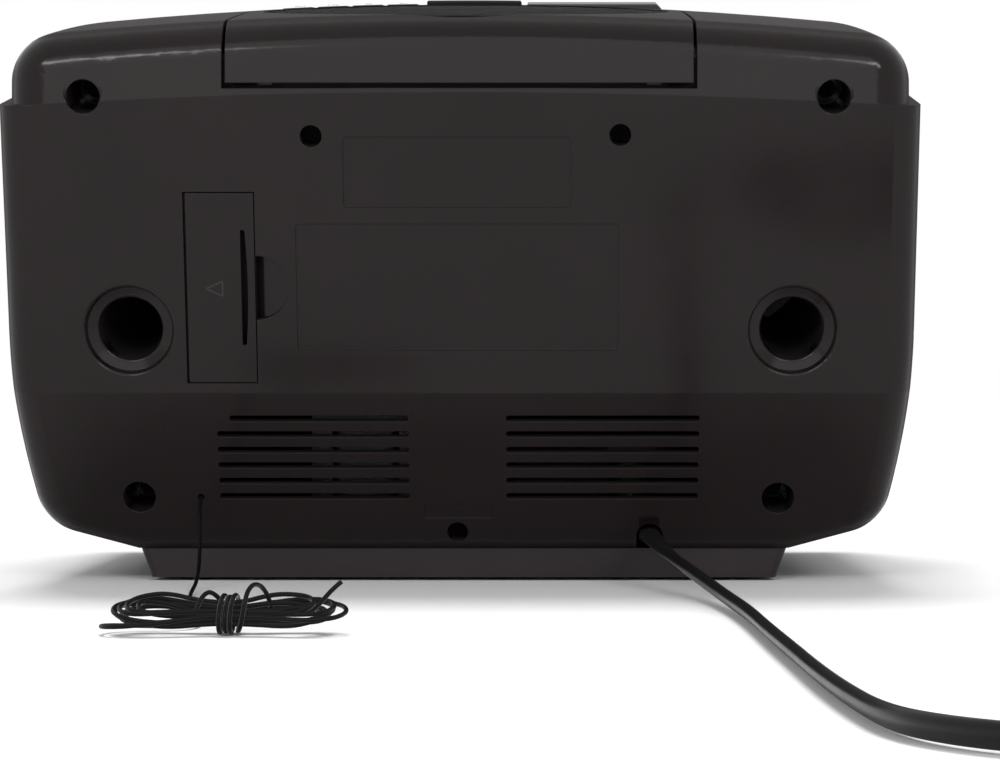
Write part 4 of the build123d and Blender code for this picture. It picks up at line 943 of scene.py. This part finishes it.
def white_world():
    """World that shows white to the camera and in gloss, and lights softly."""
    world = bpy.data.worlds.new("studio")
    bpy.context.scene.world = world
    world.use_nodes = True
    tree = world.node_tree
    background = tree.nodes["Background"]
    path = tree.nodes.new("ShaderNodeLightPath")
    gloss = tree.nodes.new("ShaderNodeMath")
    gloss.operation = "MAXIMUM"
    either = tree.nodes.new("ShaderNodeMath")
    either.operation = "MAXIMUM"
    strength = tree.nodes.new("ShaderNodeMapRange")
    strength.inputs["To Min"].default_value = WORLD_LIGHT
    strength.inputs["To Max"].default_value = WORLD_SHOWN
    tree.links.new(path.outputs["Is Glossy Ray"], gloss.inputs[0])
    tree.links.new(path.outputs["Is Transmission Ray"], gloss.inputs[1])
    tree.links.new(path.outputs["Is Camera Ray"], either.inputs[0])
    tree.links.new(gloss.outputs[0], either.inputs[1])
    tree.links.new(either.outputs[0], strength.inputs["Value"])
    tree.links.new(strength.outputs["Result"], background.inputs["Strength"])
    background.inputs["Color"].default_value = (1, 1, 1, 1)


class RADIO_OT_studio(bpy.types.Operator):
    """Set up the floor, the soft lamps, the white world and the camera behind the radio."""

    bl_idname = "radio.studio"
    bl_label = "Set up the studio"

    def execute(self, context):
        floor = flat_square("floor", sizes().floor_reach, (0, 0, FLOOR_LEVEL))
        material, tree, shader = new_material("floor_paper")
        shade = add_noise(tree, 3, 2)
        colour = tuple(finishes().floor)
        darker = tuple(value * 0.985 for value in colour)
        tree.links.new(add_ramp(tree, shade, 0.3, 0.7, darker, colour), shader.inputs["Base Color"])
        shader.inputs["Roughness"].default_value = 0.9
        shader.inputs["Specular IOR Level"].default_value = 0.1
        floor.data.materials.append(material)
        white_world()
        sun_lamp("lamp_overhead", *SUN)
        for lamp in SOFT_LAMPS:
            soft_box(*lamp)
        data = bpy.data.cameras.new("camera")
        data.sensor_width = 36
        data.lens = CAMERA_LENS
        data.shift_x = CAMERA_SHIFT
        data.clip_start = 0.02
        data.clip_end = 60
        camera = bpy.data.objects.new("camera", data)
        camera.location = CAMERA_PLACE
        camera.rotation_euler = (math.radians(90), 0, math.radians(180))
        bpy.context.scene.collection.objects.link(camera)
        bpy.context.scene.camera = camera
        context.scene.view_settings.view_transform = "Standard"
        return {"FINISHED"}


class RADIO_PT_sidebar(bpy.types.Panel):
    """Sizes, finishes and steps of the radio."""

    bl_idname = "RADIO_PT_sidebar"
    bl_label = "Bedside disc radio"
    bl_space_type = "VIEW_3D"
    bl_region_type = "UI"
    bl_category = "Radio"

    def draw(self, context):
        for group in (context.scene.radio_sizes, context.scene.radio_finishes):
            for name in group.__annotations__:
                self.layout.prop(group, name)
        for operator in OPERATORS:
            self.layout.operator(operator.bl_idname)


OPERATORS = (
    RADIO_OT_studio, RADIO_OT_finish_nodes, RADIO_OT_cord_ends, RADIO_OT_mains_cord,
    RADIO_OT_wire_aerial, RADIO_OT_door_arrow, RADIO_OT_front_details,
)
CLASSES = (RadioSizes, RadioFinishes, *OPERATORS, RADIO_PT_sidebar)


def register():
    """Register the classes and their settings."""
    for item in CLASSES:
        bpy.utils.register_class(item)
    bpy.types.Scene.radio_sizes = bpy.props.PointerProperty(type=RadioSizes)
    bpy.types.Scene.radio_finishes = bpy.props.PointerProperty(type=RadioFinishes)


def unregister():
    """Remove the settings and the classes."""
    del bpy.types.Scene.radio_finishes
    del bpy.types.Scene.radio_sizes
    for item in reversed(CLASSES):
        bpy.utils.unregister_class(item)


def main():
    """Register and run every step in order."""
    register()
    for operator in OPERATORS:
        group, name = operator.bl_idname.split(".")
        getattr(getattr(bpy.ops, group), name)()


if __name__ == "__main__":
    main()
